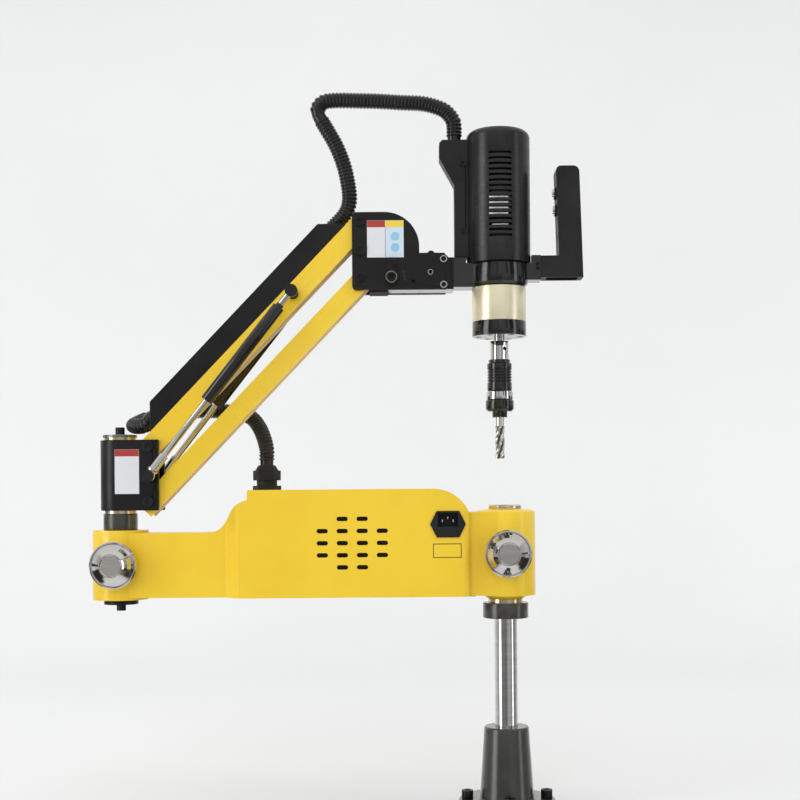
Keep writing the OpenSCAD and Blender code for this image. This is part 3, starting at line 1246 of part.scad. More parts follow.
// Ribbed hose along a route: plain at both ends, two rings a rib, and a bore with a ring every third rib
module ribbed_hose(route, first, ribbed, label) {
    c = curve(route);
    s = lengths(c);
    total = s[len(s) - 1];
    tabs = [for (k = [0:2]) table(c, s, k)];
    plain = ribbed ? hose_d : total;
    n = ribbed ? floor((total - 2 * plain) / rib_pitch) : 0;
    step = ribbed ? (total - 2 * plain) / n : total;
    outer_s = ribbed
        ? concat([0], [for (i = [0:n - 1], h = [0, 0.5]) plain + (i + h) * step], [total - plain, total])
        : [0, total];
    groove_r = hose_r - rib_depth;
    outer_r = ribbed
        ? concat([groove_r], [for (i = [0:n - 1]) each [groove_r, hose_r]], [groove_r, groove_r])
        : [groove_r, groove_r];
    inner_n = ribbed ? ceil(n / 3) : 1;
    inner_s = [for (i = [0:inner_n]) total * i / inner_n];
    function at(q) = [for (k = [0:2]) lookup(q, tabs[k])];
    function along(q) = unit(at(min(q + 0.5, total)) - at(max(q - 0.5, 0)));
    to = [for (q = outer_s) along(q)];
    ti = [for (q = inner_s) along(q)];
    uo = carried(to, first);
    ui = carried(ti, first);
    outer = [for (i = [0:len(outer_s) - 1])
        each ring_pts(at(outer_s[i]), uo[i], cross(to[i], uo[i]), outer_r[i])];
    inner = [for (i = [0:len(inner_s) - 1])
        each ring_pts(at(inner_s[i]), ui[i], cross(ti[i], ui[i]), hose_bore / 2)];
    a = len(outer_s);
    b = len(inner_s);
    base = 8 * a;
    last = 8 * (a - 1);
    inner_last = base + 8 * (b - 1);
    polyhedron(points = concat(outer, inner), faces = concat(
        [for (i = [0:a - 2], k = [0:7]) let (p = 8 * i + k, q = 8 * i + (k + 1) % 8)
            each [[p, p + 8, q + 8], [p, q + 8, q]]],
        [for (i = [0:b - 2], k = [0:7]) let (p = base + 8 * i + k, q = base + 8 * i + (k + 1) % 8)
            each [[p, q + 8, p + 8], [p, q, q + 8]]],
        [for (k = [0:7]) let (q = (k + 1) % 8) [k, q, base + q, base + k]],
        [for (k = [0:7]) let (q = (k + 1) % 8) [last + k, inner_last + k, inner_last + q, last + q]]));
    if (ribbed) {
        mids = [for (q = [0:hose_d / 2:total]) at(q)];
        gaps = [for (i = [0:len(mids) - 1], j = [i + 6:1:len(mids) - 1]) norm(mids[i] - mids[j]) - hose_d];
        echo(str(label, " length ", total, " ribs ", n, " least gap to itself ", min(gaps)));
    }
}
module lower_conduit() color(black) ribbed_hose(lower_route, [0, -1, 0], true, "lower hose");
module upper_conduit() color(black) ribbed_hose(upper_route, [0, -1, 0], true, "upper hose");
module cover_conduit() color(black)
    ribbed_hose([on_link(hose_from, hose_over), on_link(hose_to, hose_over)], [0, -1, 0], false, "");

base_casting();
base_screws();
column();
support_collar();
column_bearing();
column_cap();
arm_casting();
bottom_cover();
cover_screws();
arm_bushes();
elbow_collar();
power_inlet();
cable_gland();
drive_electronics();
lower_conduit();
column_clamp_pad();
column_knob();
elbow_clamp_pad();
elbow_knob();
pivot_block();
elbow_shaft();
elbow_end_bolts();
elbow_top_washer();
pivot_pins();
lower_ball_studs();
upper_link();
link_cover();
upper_link_bushes();
upper_ball_studs();
cover_conduit();
lower_link();
lower_link_bushes();
spring_tubes();
spring_sockets();
spring_rods();
head_plates();
head_spacer();
head_pins();
tilt_lever();
tilt_block();
motor_clamp();
motor_cover();
motor_body();
cable_box();
handle();
tilt_head_screws();
gearbox_case();
output_flange();
upper_conduit();
motor_rotor();
planet_gear_1();
planet_gear_2();
planet_gear_3();
output_shaft();
tool_adapter();
release_sleeve();
collet_nut();
cutter();
upper_button();
lower_button();
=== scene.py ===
"""Looks, light and camera for the drilling and tapping machine, in metres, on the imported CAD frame."""
import math

import bpy
import bmesh
import numpy as np
from mathutils import Matrix, Vector


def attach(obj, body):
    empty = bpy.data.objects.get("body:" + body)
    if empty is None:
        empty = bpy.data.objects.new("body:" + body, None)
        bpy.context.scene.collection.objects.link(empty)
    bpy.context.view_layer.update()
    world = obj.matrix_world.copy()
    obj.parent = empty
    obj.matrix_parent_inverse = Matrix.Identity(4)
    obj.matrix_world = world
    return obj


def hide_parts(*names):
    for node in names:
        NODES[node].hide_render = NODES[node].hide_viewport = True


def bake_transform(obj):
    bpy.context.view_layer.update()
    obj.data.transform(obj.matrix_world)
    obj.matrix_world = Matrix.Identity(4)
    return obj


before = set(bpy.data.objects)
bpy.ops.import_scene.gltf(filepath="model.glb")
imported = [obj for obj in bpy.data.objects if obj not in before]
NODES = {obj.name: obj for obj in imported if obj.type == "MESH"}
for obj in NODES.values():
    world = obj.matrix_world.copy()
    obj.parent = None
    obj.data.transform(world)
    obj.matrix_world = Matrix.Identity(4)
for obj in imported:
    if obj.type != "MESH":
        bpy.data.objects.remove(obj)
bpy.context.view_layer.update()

MM = 0.001
# The places and sizes below are in millimetres and follow the CAD source.
# Lower pivot of the upper link, and the direction in which both links rise
PIVOT_A = (-459.0, 474.5)
LINK_ANGLE = math.radians(46.2)
LINK_DIR = (math.cos(LINK_ANGLE), math.sin(LINK_ANGLE))
LINK_UP = (-math.sin(LINK_ANGLE), math.cos(LINK_ANGLE))
# Axis of the motor, and how far a hose in the cable cover lies above the upper link's pivots
MOTOR_X = -5.51
HOSE_OVER = 25.5
# Middle of the mains inlet, across and up
INLET = (-76.0, 372.0)
# Its three pins, from that middle, half their reach across and up, and the depths they span
INLET_PINS = ((-7, 3.8), (0, 8.1), (7, 3.8))
INLET_PIN_REACH = (1.2, 2.2)
INLET_PINS_Y = (-47.2, -37.8)
# Half the width inside a link
LINK_INSIDE = 15.5
# The head's tilt axis
TILT = (-145.01, 688.02)
# Lower and upper balls of the gas springs, the upper ones that far along the upper link, and
# the radius of their sockets
SPRING_REACH = 270.0
SPRING_P = (-455.0, 436.0)
SPRING_Q = (PIVOT_A[0] + SPRING_REACH * LINK_DIR[0], PIVOT_A[1] + SPRING_REACH * LINK_DIR[1])
SOCKET_R = 8.0
# Front faces of the pivot block, the front head plate and the electronics box
BLOCK_FRONT = -25.0
PLATE_FRONT = -24.0
BOX_FRONT = -52.0
# Heights between which the motor's bare laminations lie
LAMINATIONS = (766.0, 790.0)
# Heights between which the head of the elbow's top bolt lies
TOP_BOLT_HEAD = (486.4, 490.6)
# The motor cover's sloping free end: its place at a height, and how far it leans back per mm
COVER_END = (70.49, 717.0)
COVER_LEAN = 3 / 116
# Radii from the cutter's axis between which the painted shade in its flutes gives way to bright lands
FLUTES = (3.9, 5.4)


# Materials

def graph(name):
    """A new material with one shader that reaches its output."""
    m = bpy.data.materials.new(name)
    m.use_nodes = True
    t = m.node_tree
    t.nodes.clear()
    out = t.nodes.new("ShaderNodeOutputMaterial")
    shader = t.nodes.new("ShaderNodeBsdfPrincipled")
    t.links.new(shader.outputs[0], out.inputs[0])
    return m, t, shader


def coords(t, stretch=(1, 1, 1)):
    where = t.nodes.new("ShaderNodeTexCoord")
    mapping = t.nodes.new("ShaderNodeMapping")
    mapping.inputs["Scale"].default_value = stretch
    t.links.new(where.outputs["Object"], mapping.inputs[0])
    return mapping.outputs[0]


def noise(t, at, scale, detail=3.0, rough=0.55):
    n = t.nodes.new("ShaderNodeTexNoise")
    n.inputs["Scale"].default_value = scale
    n.inputs["Detail"].default_value = detail
    n.inputs["Roughness"].default_value = rough
    t.links.new(at, n.inputs["Vector"])
    return n.outputs["Fac"]


def ramp(t, value, stops):
    r = t.nodes.new("ShaderNodeValToRGB")
    e = r.color_ramp.elements
    while len(e) < len(stops):
        e.new(0.5)
    for i, (p, c) in enumerate(stops):
        e[i].position = p
        e[i].color = (*c, 1)
    t.links.new(value, r.inputs[0])
    return r.outputs[0]


def spread(t, value, low, high, a=0.3, b=0.7):
    """Stretches a value's range from a to b over the range from low to high."""
    m = t.nodes.new("ShaderNodeMapRange")
    m.inputs["From Min"].default_value = a
    m.inputs["From Max"].default_value = b
    m.inputs["To Min"].default_value = low
    m.inputs["To Max"].default_value = high
    t.links.new(value, m.inputs[0])
    return m.outputs[0]


def bump(t, shader, height, strength, distance):
    b = t.nodes.new("ShaderNodeBump")
    b.inputs["Strength"].default_value = strength
    b.inputs["Distance"].default_value = distance
    t.links.new(height, b.inputs["Height"])
    t.links.new(b.outputs[0], shader.inputs["Normal"])


def share(t, a, b, fac):
    """Mixes two colours, or a colour and a socket."""
    mix = t.nodes.new("ShaderNodeMix")
    mix.data_type = "RGBA"
    t.links.new(fac, mix.inputs[0])
    for value, k in ((a, 6), (b, 7)):
        if isinstance(value, tuple):
            mix.inputs[k].default_value = (*value, 1)
        else:
            t.links.new(value, mix.inputs[k])
    return mix.outputs[2]


def sums(t, operation, a, b=None):
    """One step of arithmetic on sockets or plain numbers."""
    node = t.nodes.new("ShaderNodeMath")
    node.operation = operation
    for i, value in enumerate((a, b)):
        if value is None:
            continue
        if isinstance(value, (int, float)):
            node.inputs[i].default_value = value
        else:
            t.links.new(value, node.inputs[i])
    return node.outputs[0]


def vector(t, operation, value, by=None):
    """One step of arithmetic on a vector."""
    node = t.nodes.new("ShaderNodeVectorMath")
    node.operation = operation
    t.links.new(value, node.inputs[0])
    if by is not None:
        node.inputs[1].default_value = by
    return node.outputs["Value" if operation in ("LENGTH", "DOT_PRODUCT") else "Vector"]


def surface(name, dark, light, rough, metal=0.0, coat=0.0, patch=14.0, grain=900.0, relief=0.1,
            depth=0.0001, stretch=(1, 1, 1), coat_rough=0.08, specular=0.5):
    """A finish with slow patches in its colour and roughness and a fine grain in its relief."""
    m, t, s = graph(name)
    at = coords(t, stretch)
    slow = noise(t, at, patch)
    t.links.new(ramp(t, slow, [(0.32, dark), (0.68, light)]), s.inputs["Base Color"])
    fine = noise(t, at, grain, 2.0)
    t.links.new(spread(t, noise(t, at, patch * 3.1), *rough), s.inputs["Roughness"])
    s.inputs["Metallic"].default_value = metal
    s.inputs["Coat Weight"].default_value = coat
    s.inputs["Coat Roughness"].default_value = coat_rough
    s.inputs["Specular IOR Level"].default_value = specular
    bump(t, s, fine, relief, depth)
    return m


def along(t, direction):
    """How squarely the surface, in the piece's own frame, faces a direction: 1 where it faces it."""
    where = t.nodes.new("ShaderNodeTexCoord")
    return vector(t, "DOT_PRODUCT", where.outputs["Normal"], direction)


YELLOW_DARK = (0.78, 0.51, 0.012)
YELLOW_LIGHT = (0.83, 0.57, 0.018)


def yellow_paint():
    return surface("yellow_enamel", YELLOW_DARK, YELLOW_LIGHT, (0.30, 0.40), coat=0.5, patch=9,
                   grain=420, relief=0.05, depth=0.00012, coat_rough=0.16)


def yellow_sheet():
    """Painted sheet; the faces that look down from the link get a pale beige, a painted reflection of
    the floor below.
    """
    m, t, s = graph("yellow_sheet")
    at = coords(t)
    paint = ramp(t, noise(t, at, 11), [(0.32, YELLOW_DARK), (0.68, YELLOW_LIGHT)])
    # Painted reflection: pale beige for the faces that look down from the link
    bare_and_painted_reflection = ramp(t, noise(t, at, 60), [(0.3, (0.78, 0.66, 0.46)), (0.7, (0.86, 0.76, 0.58))])
    edge = spread(t, along(t, (-LINK_UP[0], 0, -LINK_UP[1])), 0.0, 1.0, 0.93, 0.97)
    t.links.new(share(t, paint, bare_and_painted_reflection, edge), s.inputs["Base Color"])
    t.links.new(spread(t, noise(t, at, 35), 0.26, 0.36), s.inputs["Roughness"])
    s.inputs["Coat Weight"].default_value = 0.5
    s.inputs["Coat Roughness"].default_value = 0.10
    bump(t, s, noise(t, at, 420, 2.0), 0.06, 0.00012)
    return m


def brushed(name, dark, light, rough, stretch, relief=0.12):
    """Bare metal with a fine grain drawn out along an axis."""
    return surface(name, dark, light, rough, metal=1.0, patch=30, grain=1400, relief=relief,
                   depth=0.00006, stretch=stretch)


def turned_chrome():
    """Polished chrome with faint rings from turning."""
    return surface("chrome_polished", (0.66, 0.65, 0.65), (0.76, 0.76, 0.76), (0.05, 0.10),
                   metal=1.0, patch=24, grain=700, relief=0.02, depth=0.00004, stretch=(1, 1, 6))


def motor_bands():
    """Dark lacquer, with the bare laminations in the middle of the motor's height."""
    m, t, s = graph("motor_bands")
    where = t.nodes.new("ShaderNodeTexCoord")
    split = t.nodes.new("ShaderNodeSeparateXYZ")
    t.links.new(where.outputs["Object"], split.inputs[0])
    at = coords(t, (1, 1, 30))
    bare_and_painted_reflection = ramp(t, noise(t, at, 40), [(0.3, (0.42, 0.42, 0.43)), (0.7, (0.60, 0.60, 0.61))])
    dark = ramp(t, noise(t, at, 30), [(0.3, (0.006, 0.006, 0.006)), (0.7, (0.014, 0.014, 0.014))])
    low = spread(t, split.outputs["Z"], 0.0, 1.0, LAMINATIONS[0] * MM, (LAMINATIONS[0] + 0.6) * MM)
    high = spread(t, split.outputs["Z"], 1.0, 0.0, (LAMINATIONS[1] - 0.6) * MM, LAMINATIONS[1] * MM)
    both = sums(t, "MULTIPLY", low, high)
    t.links.new(share(t, dark, bare_and_painted_reflection, both), s.inputs["Base Color"])
    t.links.new(both, s.inputs["Metallic"])
    t.links.new(spread(t, noise(t, at, 35), 0.34, 0.46), s.inputs["Roughness"])
    bump(t, s, noise(t, at, 700, 2.0), 0.1, 0.0001)
    return m


def cutter_steel():
    """Ground steel, bright on the lands, with painted shade making it dark down in the flutes."""
    m, t, s = graph("cutter_steel")
    at = coords(t)
    where = t.nodes.new("ShaderNodeTexCoord")
    across = vector(t, "SUBTRACT", where.outputs["Object"], (MOTOR_X * MM, 0, 0))
    from_axis = vector(t, "LENGTH", vector(t, "MULTIPLY", across, (1, 1, 0)))
    # Painted shade: the steel darkens towards the axis, down in the flutes
    depth = spread(t, from_axis, 0.0, 1.0, FLUTES[0] * MM, FLUTES[1] * MM)
    shades = [(0.0, (0.10, 0.095, 0.09)), (0.55, (0.34, 0.33, 0.32)), (1.0, (0.82, 0.81, 0.80))]
    t.links.new(ramp(t, depth, shades), s.inputs["Base Color"])
    t.links.new(spread(t, noise(t, at, 90), 0.20, 0.30), s.inputs["Roughness"])
    s.inputs["Metallic"].default_value = 1.0
    bump(t, s, noise(t, at, 1400, 2.0), 0.03, 0.00006)
    return m


MATERIALS = {
    "motor_bands": motor_bands(),
    "yellow": yellow_paint(),
    "sheet": yellow_sheet(),
    "black_paint": surface("black_enamel", (0.005, 0.005, 0.006), (0.010, 0.010, 0.011),
                           (0.30, 0.42), coat=0.08, patch=12, grain=700, relief=0.08,
                           depth=0.00012, specular=0.32),
    "cover_paint": surface("cover_enamel", (0.009, 0.009, 0.010), (0.015, 0.015, 0.016),
                           (0.26, 0.34), patch=12, grain=900, relief=0.06, depth=0.0001,
                           stretch=(1, 1, 3)),
    "black_gloss": surface("black_gloss", (0.005, 0.005, 0.006), (0.010, 0.010, 0.011),
                           (0.12, 0.20), coat=0.5, patch=14, grain=500, relief=0.04, depth=0.0001),
    "black_satin": surface("black_satin", (0.008, 0.008, 0.009), (0.014, 0.014, 0.015),
                           (0.36, 0.48), patch=20, grain=1300, relief=0.22, depth=0.00010,
                           specular=0.36),
    "black_plastic": surface("black_plastic", (0.009, 0.009, 0.010), (0.017, 0.017, 0.018),
                             (0.42, 0.55), patch=18, grain=1500, relief=0.25, depth=0.00008,
                             specular=0.32),
    "hose": surface("hose_plastic", (0.006, 0.006, 0.007), (0.011, 0.011, 0.012), (0.14, 0.22),
                    patch=25, grain=900, relief=0.08, depth=0.00005, specular=0.6),
    "black_steel": surface("black_oxide_steel", (0.016, 0.016, 0.017), (0.034, 0.034, 0.036),
                           (0.30, 0.42), metal=0.7, patch=60, grain=1600, relief=0.15,
                           depth=0.00006),
    "chrome": turned_chrome(),
    "steel": brushed("ground_steel", (0.42, 0.42, 0.43), (0.56, 0.56, 0.57), (0.22, 0.34),
                     (1, 1, 18)),
    "bright": brushed("bright_steel", (0.60, 0.60, 0.61), (0.74, 0.74, 0.75), (0.16, 0.26),
                      (1, 1, 14)),
    "bronze": surface("bearing_bronze", (0.58, 0.44, 0.20), (0.74, 0.60, 0.34), (0.20, 0.32),
                      metal=1.0, patch=40, grain=1200, relief=0.08, depth=0.00005),
    "cap": surface("cap_nickel", (0.70, 0.62, 0.44), (0.84, 0.78, 0.62), (0.16, 0.26), metal=0.95,
                   patch=30, grain=900, relief=0.08, depth=0.00006),
    "foot": surface("foot_paint", (0.030, 0.030, 0.026), (0.046, 0.046, 0.040), (0.30, 0.42),
                    metal=0.25, coat=0.9, coat_rough=0.2, patch=20, grain=1000, relief=0.12,
                    depth=0.00008),
    "collar": surface("collar_paint", (0.034, 0.033, 0.030), (0.052, 0.051, 0.046), (0.30, 0.42),
                      metal=0.3, coat=0.9, coat_rough=0.18, patch=24, grain=1100, relief=0.10,
                      depth=0.00006),
    "aluminium": brushed("pale_underside_metal", (0.46, 0.46, 0.46), (0.60, 0.60, 0.60), (0.26, 0.38),
                         (1, 1, 1)),
    "gearbox": surface("champagne_anodised", (0.88, 0.81, 0.57), (0.93, 0.87, 0.65), (0.28, 0.36),
                       metal=0.6, patch=18, grain=1300, relief=0.05, depth=0.00004),
    "rotor": surface("rotor_laminations", (0.20, 0.13, 0.07), (0.34, 0.22, 0.12), (0.35, 0.5),
                     metal=0.8, patch=30, grain=600, relief=0.3, depth=0.0001, stretch=(1, 1, 30)),
    "board": surface("circuit_board", (0.010, 0.060, 0.025), (0.020, 0.110, 0.045), (0.35, 0.5),
                     patch=40, grain=700, relief=0.2, depth=0.0001),
    "cutter": cutter_steel(),
    # Near-black matte: the head spacer's black, and painted shade on the sheets inside the vent slots
    "black_and_painted_shade": surface("black_and_painted_shade", (0.004, 0.004, 0.004), (0.008, 0.008, 0.008),
                           (0.7, 0.85), patch=30, grain=800, relief=0.1, depth=0.0001),
    "label_white": surface("label_white", (0.63, 0.645, 0.67), (0.66, 0.675, 0.70), (0.40, 0.50),
                           patch=20, grain=700, relief=0.03, depth=0.00003),
    "label_blue": surface("label_blue", (0.53, 0.635, 0.725), (0.56, 0.66, 0.75), (0.40, 0.50),
                          patch=20, grain=700, relief=0.03, depth=0.00003),
    "label_red": surface("label_red", (0.34, 0.032, 0.028), (0.41, 0.042, 0.036), (0.38, 0.48),
                         patch=20, grain=700, relief=0.03, depth=0.00003),
    "label_yellow": surface("label_yellow", (0.70, 0.52, 0.05), (0.76, 0.58, 0.07), (0.38, 0.48),
                            patch=20, grain=700, relief=0.03, depth=0.00003),
    "brass": surface("pale_brass", (0.66, 0.55, 0.33), (0.78, 0.68, 0.46), (0.18, 0.28),
                     metal=1.0, patch=40, grain=1100, relief=0.06, depth=0.00005),
    "pewter": surface("pewter", (0.24, 0.23, 0.21), (0.34, 0.33, 0.31), (0.28, 0.38), metal=0.9,
                      patch=40, grain=1100, relief=0.08, depth=0.00005),
    "frame_brown": surface("frame_brown", (0.10, 0.055, 0.02), (0.15, 0.085, 0.03), (0.45, 0.55),
                           patch=30, grain=800, relief=0.05, depth=0.00004),
    "dot_blue": surface("dot_blue", (0.22, 0.46, 0.68), (0.27, 0.52, 0.74), (0.40, 0.50), patch=20,
                        grain=700, relief=0.03, depth=0.00003),
    "lamination": surface("lamination_edge", (0.62, 0.62, 0.62), (0.78, 0.78, 0.78), (0.35, 0.45),
                          metal=0.2, patch=60, grain=900, relief=0.1, depth=0.00005),
    "mark_faint": surface("mark_faint", (0.045, 0.045, 0.045), (0.075, 0.075, 0.075),
                          (0.45, 0.55), patch=30, grain=700, relief=0.03, depth=0.00003),
    # Pale beige that stands in for light inside the links' channels: painted light
    "link_inside_painted_light": surface("link_inside_painted_light", (0.88, 0.70, 0.36), (0.93, 0.77, 0.44), (0.40, 0.50),
                            patch=30, grain=700, relief=0.05, depth=0.00005),
}

NODE_MATERIAL = {
    "base_casting": "foot", "base_screws": "black_steel", "column": "chrome",
    "support_collar": "collar", "column_bearing": "brass", "column_cap": "cap",
    "arm_casting": "yellow", "bottom_cover": "black_satin", "cover_screws": "black_steel",
    "arm_bushes": "brass", "elbow_collar": "collar", "power_inlet": "black_plastic",
    "cable_gland": "black_plastic", "drive_electronics": "board", "lower_conduit": "hose",
    "column_clamp_pad": "bronze", "column_knob": "chrome", "elbow_clamp_pad": "bronze",
    "elbow_knob": "chrome", "pivot_block": "black_paint", "elbow_shaft": "steel",
    "elbow_end_bolts": "black_steel", "elbow_top_washer": "brass", "pivot_pins": "black_steel",
    "lower_ball_studs": "black_steel", "upper_link": "sheet", "link_cover": "black_paint",
    "upper_link_bushes": "bronze", "upper_ball_studs": "black_steel", "cover_conduit": "hose",
    "lower_link": "sheet", "lower_link_bushes": "bronze", "spring_tubes": "black_gloss",
    "spring_sockets": "chrome", "spring_rods": "chrome", "head_plates": "black_paint",
    "head_spacer": "black_and_painted_shade", "head_pins": "black_steel", "tilt_lever": "black_steel",
    "tilt_block": "black_paint", "motor_clamp": "black_gloss", "motor_cover": "cover_paint",
    "motor_body": "motor_bands", "cable_box": "black_satin", "handle": "black_plastic",
    "tilt_head_screws": "black_steel", "gearbox_case": "gearbox", "output_flange": "black_gloss",
    "upper_conduit": "hose", "motor_rotor": "rotor", "planet_gear_1": "steel",
    "planet_gear_2": "steel", "planet_gear_3": "steel", "output_shaft": "bright",
    "tool_adapter": "chrome", "release_sleeve": "black_gloss", "collet_nut": "black_gloss",
    "cutter": "cutter", "upper_button": "chrome", "lower_button": "chrome",
}


def dress(o, name):
    """Gives a piece a finish in place of what it has."""
    o.data.materials.clear()
    o.data.materials.append(MATERIALS[name])


# Width of the soft edge on each CAD node, in millimetres
EDGE = {
    "arm_casting": 1.6, "base_casting": 0.8, "pivot_block": 0.9, "link_cover": 0.7,
    "head_plates": 0.6, "motor_clamp": 0.8, "cable_box": 0.6, "handle": 2.2,
    "support_collar": 0.3, "motor_cover": 0.4, "upper_link": 0.3, "lower_link": 0.3,
    "collet_nut": 0.3, "output_flange": 0.5, "gearbox_case": 0.3, "tilt_block": 0.5,
    "head_spacer": 0.5, "power_inlet": 0.5, "cable_gland": 0.6, "tilt_lever": 0.8,
    "tool_adapter": 0.3, "release_sleeve": 0.25, "elbow_collar": 0.3, "column_cap": 0.4,
    "bottom_cover": 0.4, "base_screws": 0.4, "pivot_pins": 0.3, "elbow_end_bolts": 0.4,
    "head_pins": 0.3, "upper_button": 0.5, "lower_button": 0.5, "spring_tubes": 0.5,
    "spring_rods": 0.4, "spring_sockets": 0.5,
}


def soften(o, width, segments=2, angle=32):
    """Rounds the sharp edges a little, so that they catch the light."""
    weld = o.modifiers.new("Weld", "WELD")
    weld.merge_threshold = 0.000004
    b = o.modifiers.new("Bevel", "BEVEL")
    b.width = width * MM
    b.segments = segments
    b.limit_method = "ANGLE"
    b.angle_limit = math.radians(angle)
    b.use_clamp_overlap = True
    b.harden_normals = False
    b.miter_outer = "MITER_ARC"


for name, node in NODES.items():
    dress(node, NODE_MATERIAL[name])
for name, width in EDGE.items():
    soften(NODES[name], width)


def paint_where(name, material, test):
    """Gives another finish to the faces of a node whose middle, in mm, and normal pass a test."""
    o = NODES[name]
    o.data.materials.append(MATERIALS[material])
    for p in o.data.polygons:
        if test(p.center / MM, p.normal):
            p.material_index = len(o.data.materials) - 1


def close_to(centre, radius):
    """A test for faces that lie about a line along Y."""
    return lambda c, n: math.hypot(c.x - centre[0], c.z - centre[1]) < radius


paint_where("spring_sockets", "black_satin", close_to(SPRING_Q, SOCKET_R + 0.4))
paint_where("spring_rods", "black_satin", close_to(SPRING_P, SOCKET_R - 0.3))
paint_where("elbow_end_bolts", "pewter",
            lambda c, n: TOP_BOLT_HEAD[0] < c.z < TOP_BOLT_HEAD[1])
# The tilt block's downward faces get a pale brushed metal, lighter than its black sides
paint_where("tilt_block", "aluminium", lambda c, n: n.z < -0.9)
# Painted light: the faces inside both links get a pale beige, brighter than the shaded channel would be
for link in ("upper_link", "lower_link"):
    paint_where(link, "link_inside_painted_light", lambda c, n: abs(n.y) > 0.9 and abs(c.y) < LINK_INSIDE)


def on_pin(c, n):
    """A test for faces that lie on one of the mains inlet's pins."""
    across, up = INLET_PIN_REACH
    return INLET_PINS_Y[0] < c.y < INLET_PINS_Y[1] and any(
        abs(c.x - INLET[0] - x) < across and abs(c.z - INLET[1] - z) < up for x, z in INLET_PINS)


paint_where("power_inlet", "bright", on_pin)


# Small shapes

def finish_mesh(name, bm, material, smooth=True, angle=35):
    """Makes an object of a bmesh; edges over an angle in degrees stay sharp."""
    me = bpy.data.meshes.new(name)
    bm.to_mesh(me)
    bm.free()
    o = bpy.data.objects.new(name, me)
    bpy.context.scene.collection.objects.link(o)
    names = [material] if isinstance(material, str) else material
    for n in names:
        me.materials.append(MATERIALS[n])
    if smooth:
        for p in me.polygons:
            p.use_smooth = True
        limit = math.radians(angle)
        for e in edges_over(me, limit):
            me.edges[e].use_edge_sharp = True
    return o


def edges_over(me, limit):
    """Edges between faces that meet at more than a limit."""
    faces = {}
    for p in me.polygons:
        for k in p.edge_keys:
            faces.setdefault(k, []).append(p.normal)
    keys = {e.key: e.index for e in me.edges}
    return [keys[k] for k, n in faces.items() if len(n) == 2 and n[0].angle(n[1], 0.0) > limit]


def add_box(bm, low, high, index=0):
    """Adds a box between two corners in mm, with one of the piece's finishes."""
    low, high = Vector(low) * MM, Vector(high) * MM
    made = bmesh.ops.create_cube(bm, size=1.0)["verts"]
    for v in made:
        v.co = Vector(((v.co[i] + 0.5) * (high[i] - low[i]) + low[i] for i in range(3)))
    for f in {f for v in made for f in v.link_faces}:
        f.material_index = index


def plate(name, body, low, high, bands, base="label_white"):
    """A thin label: a base sheet with plain coloured bands a hair proud of it."""
    bm = bmesh.new()
    add_box(bm, low, high)
    names = [base]
    for material, b_low, b_high in bands:
        if material not in names:
            names.append(material)
        add_box(bm, b_low, b_high, names.index(material))
    o = finish_mesh(name, bm, names, smooth=False)
    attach(o, body)


def turned(name, body, material, profile, centre, axis, segments=48):
    """A ring or disc turned from (radius, height) points about an axis through centre, in mm."""
    bm = bmesh.new()
    spin = Vector((0, 0, 1)).rotation_difference(Vector(axis))
    middle = Vector(centre)
    rings = []
    for k in range(segments):
        a = 2 * math.pi * k / segments
        points = [Vector((r * math.cos(a), r * math.sin(a), h)) for r, h in profile]
        rings.append([bm.verts.new((spin @ p + middle) * MM) for p in points])
    n = len(profile)
    for k in range(segments):
        p, q = rings[k], rings[(k + 1) % segments]
        for i in range(n):
            j = (i + 1) % n
            bm.faces.new((p[i], q[i], q[j], p[j]))
    bmesh.ops.recalc_face_normals(bm, faces=bm.faces)
    o = finish_mesh(name, bm, material)
    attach(o, body)


# Ribbed hoses

def on_link(s, h):
    """A point in the middle plane, s along the upper link from its lower pivot and h above it."""
    return (PIVOT_A[0] + s * LINK_DIR[0] + h * LINK_UP[0], 0.0,
            PIVOT_A[1] + s * LINK_DIR[1] + h * LINK_UP[1])


LOWER_ROUTE = [(-312, 28, 450), (-312, 28, 460), (-312, 28, 471), (-316, 33, 486),
               (-323, 41, 501), (-334, 50, 514), (-351, 59, 521), (-370, 65, 524),
               (-390, 68, 525), (-412, 69, 525), (-434, 68, 524), (-455, 64, 521),
               (-471, 56, 516), (-481, 45, 510), (-487, 32, 505), (-485, 18, 503),
               (-477, 6, 501.5), on_link(15, HOSE_OVER), on_link(26, HOSE_OVER),
               on_link(36, HOSE_OVER)]
UPPER_ROUTE = [on_link(330, HOSE_OVER), on_link(342, HOSE_OVER), on_link(354, HOSE_OVER),
               (-210.9, 0, 768.3), (-201.9, 0, 781.3), (-198.9, 0, 796.3), (-200.9, 0, 815.3),
               (-205.9, 0, 838.3), (-214.9, 0, 862.3), (-225.9, 0, 882.3), (-232.9, 0, 894.3),
               (-237.9, 0, 902.8), (-239.4, 0, 909.8), (-236.9, 0, 916.8), (-230.9, 0, 921.3),
               (-222.9, 0, 922.8), (-210.9, 0, 923.3), (-189.9, 0, 922.8), (-159.9, 0, 921.8),
               (-129.9, 0, 919.8), (-105.3, 0, 918.5), (-87.3, 0, 914.5), (-73.3, 0, 908.0),
               (-64.3, 0, 897.0), (-62.26, 0, 889.0), (-62.26, 0, 878.0), (-62.26, 0, 868.0)]


def curve_through(points, steps=8):
    """Points of a smooth curve that runs through all the given ones."""
    p = [Vector(v) for v in points]
    out = []
    for i in range(len(p) - 1):
        a, b, c, d = p[max(i - 1, 0)], p[i], p[i + 1], p[min(i + 2, len(p) - 1)]
        for j in range(steps):
            t = j / steps
            out.append(0.5 * (2 * b + (c - a) * t + (2 * a - 5 * b + 4 * c - d) * t * t
                              + (3 * b - a - 3 * c + d) * t * t * t))
    out.append(p[-1])
    return np.array([list(v) for v in out])


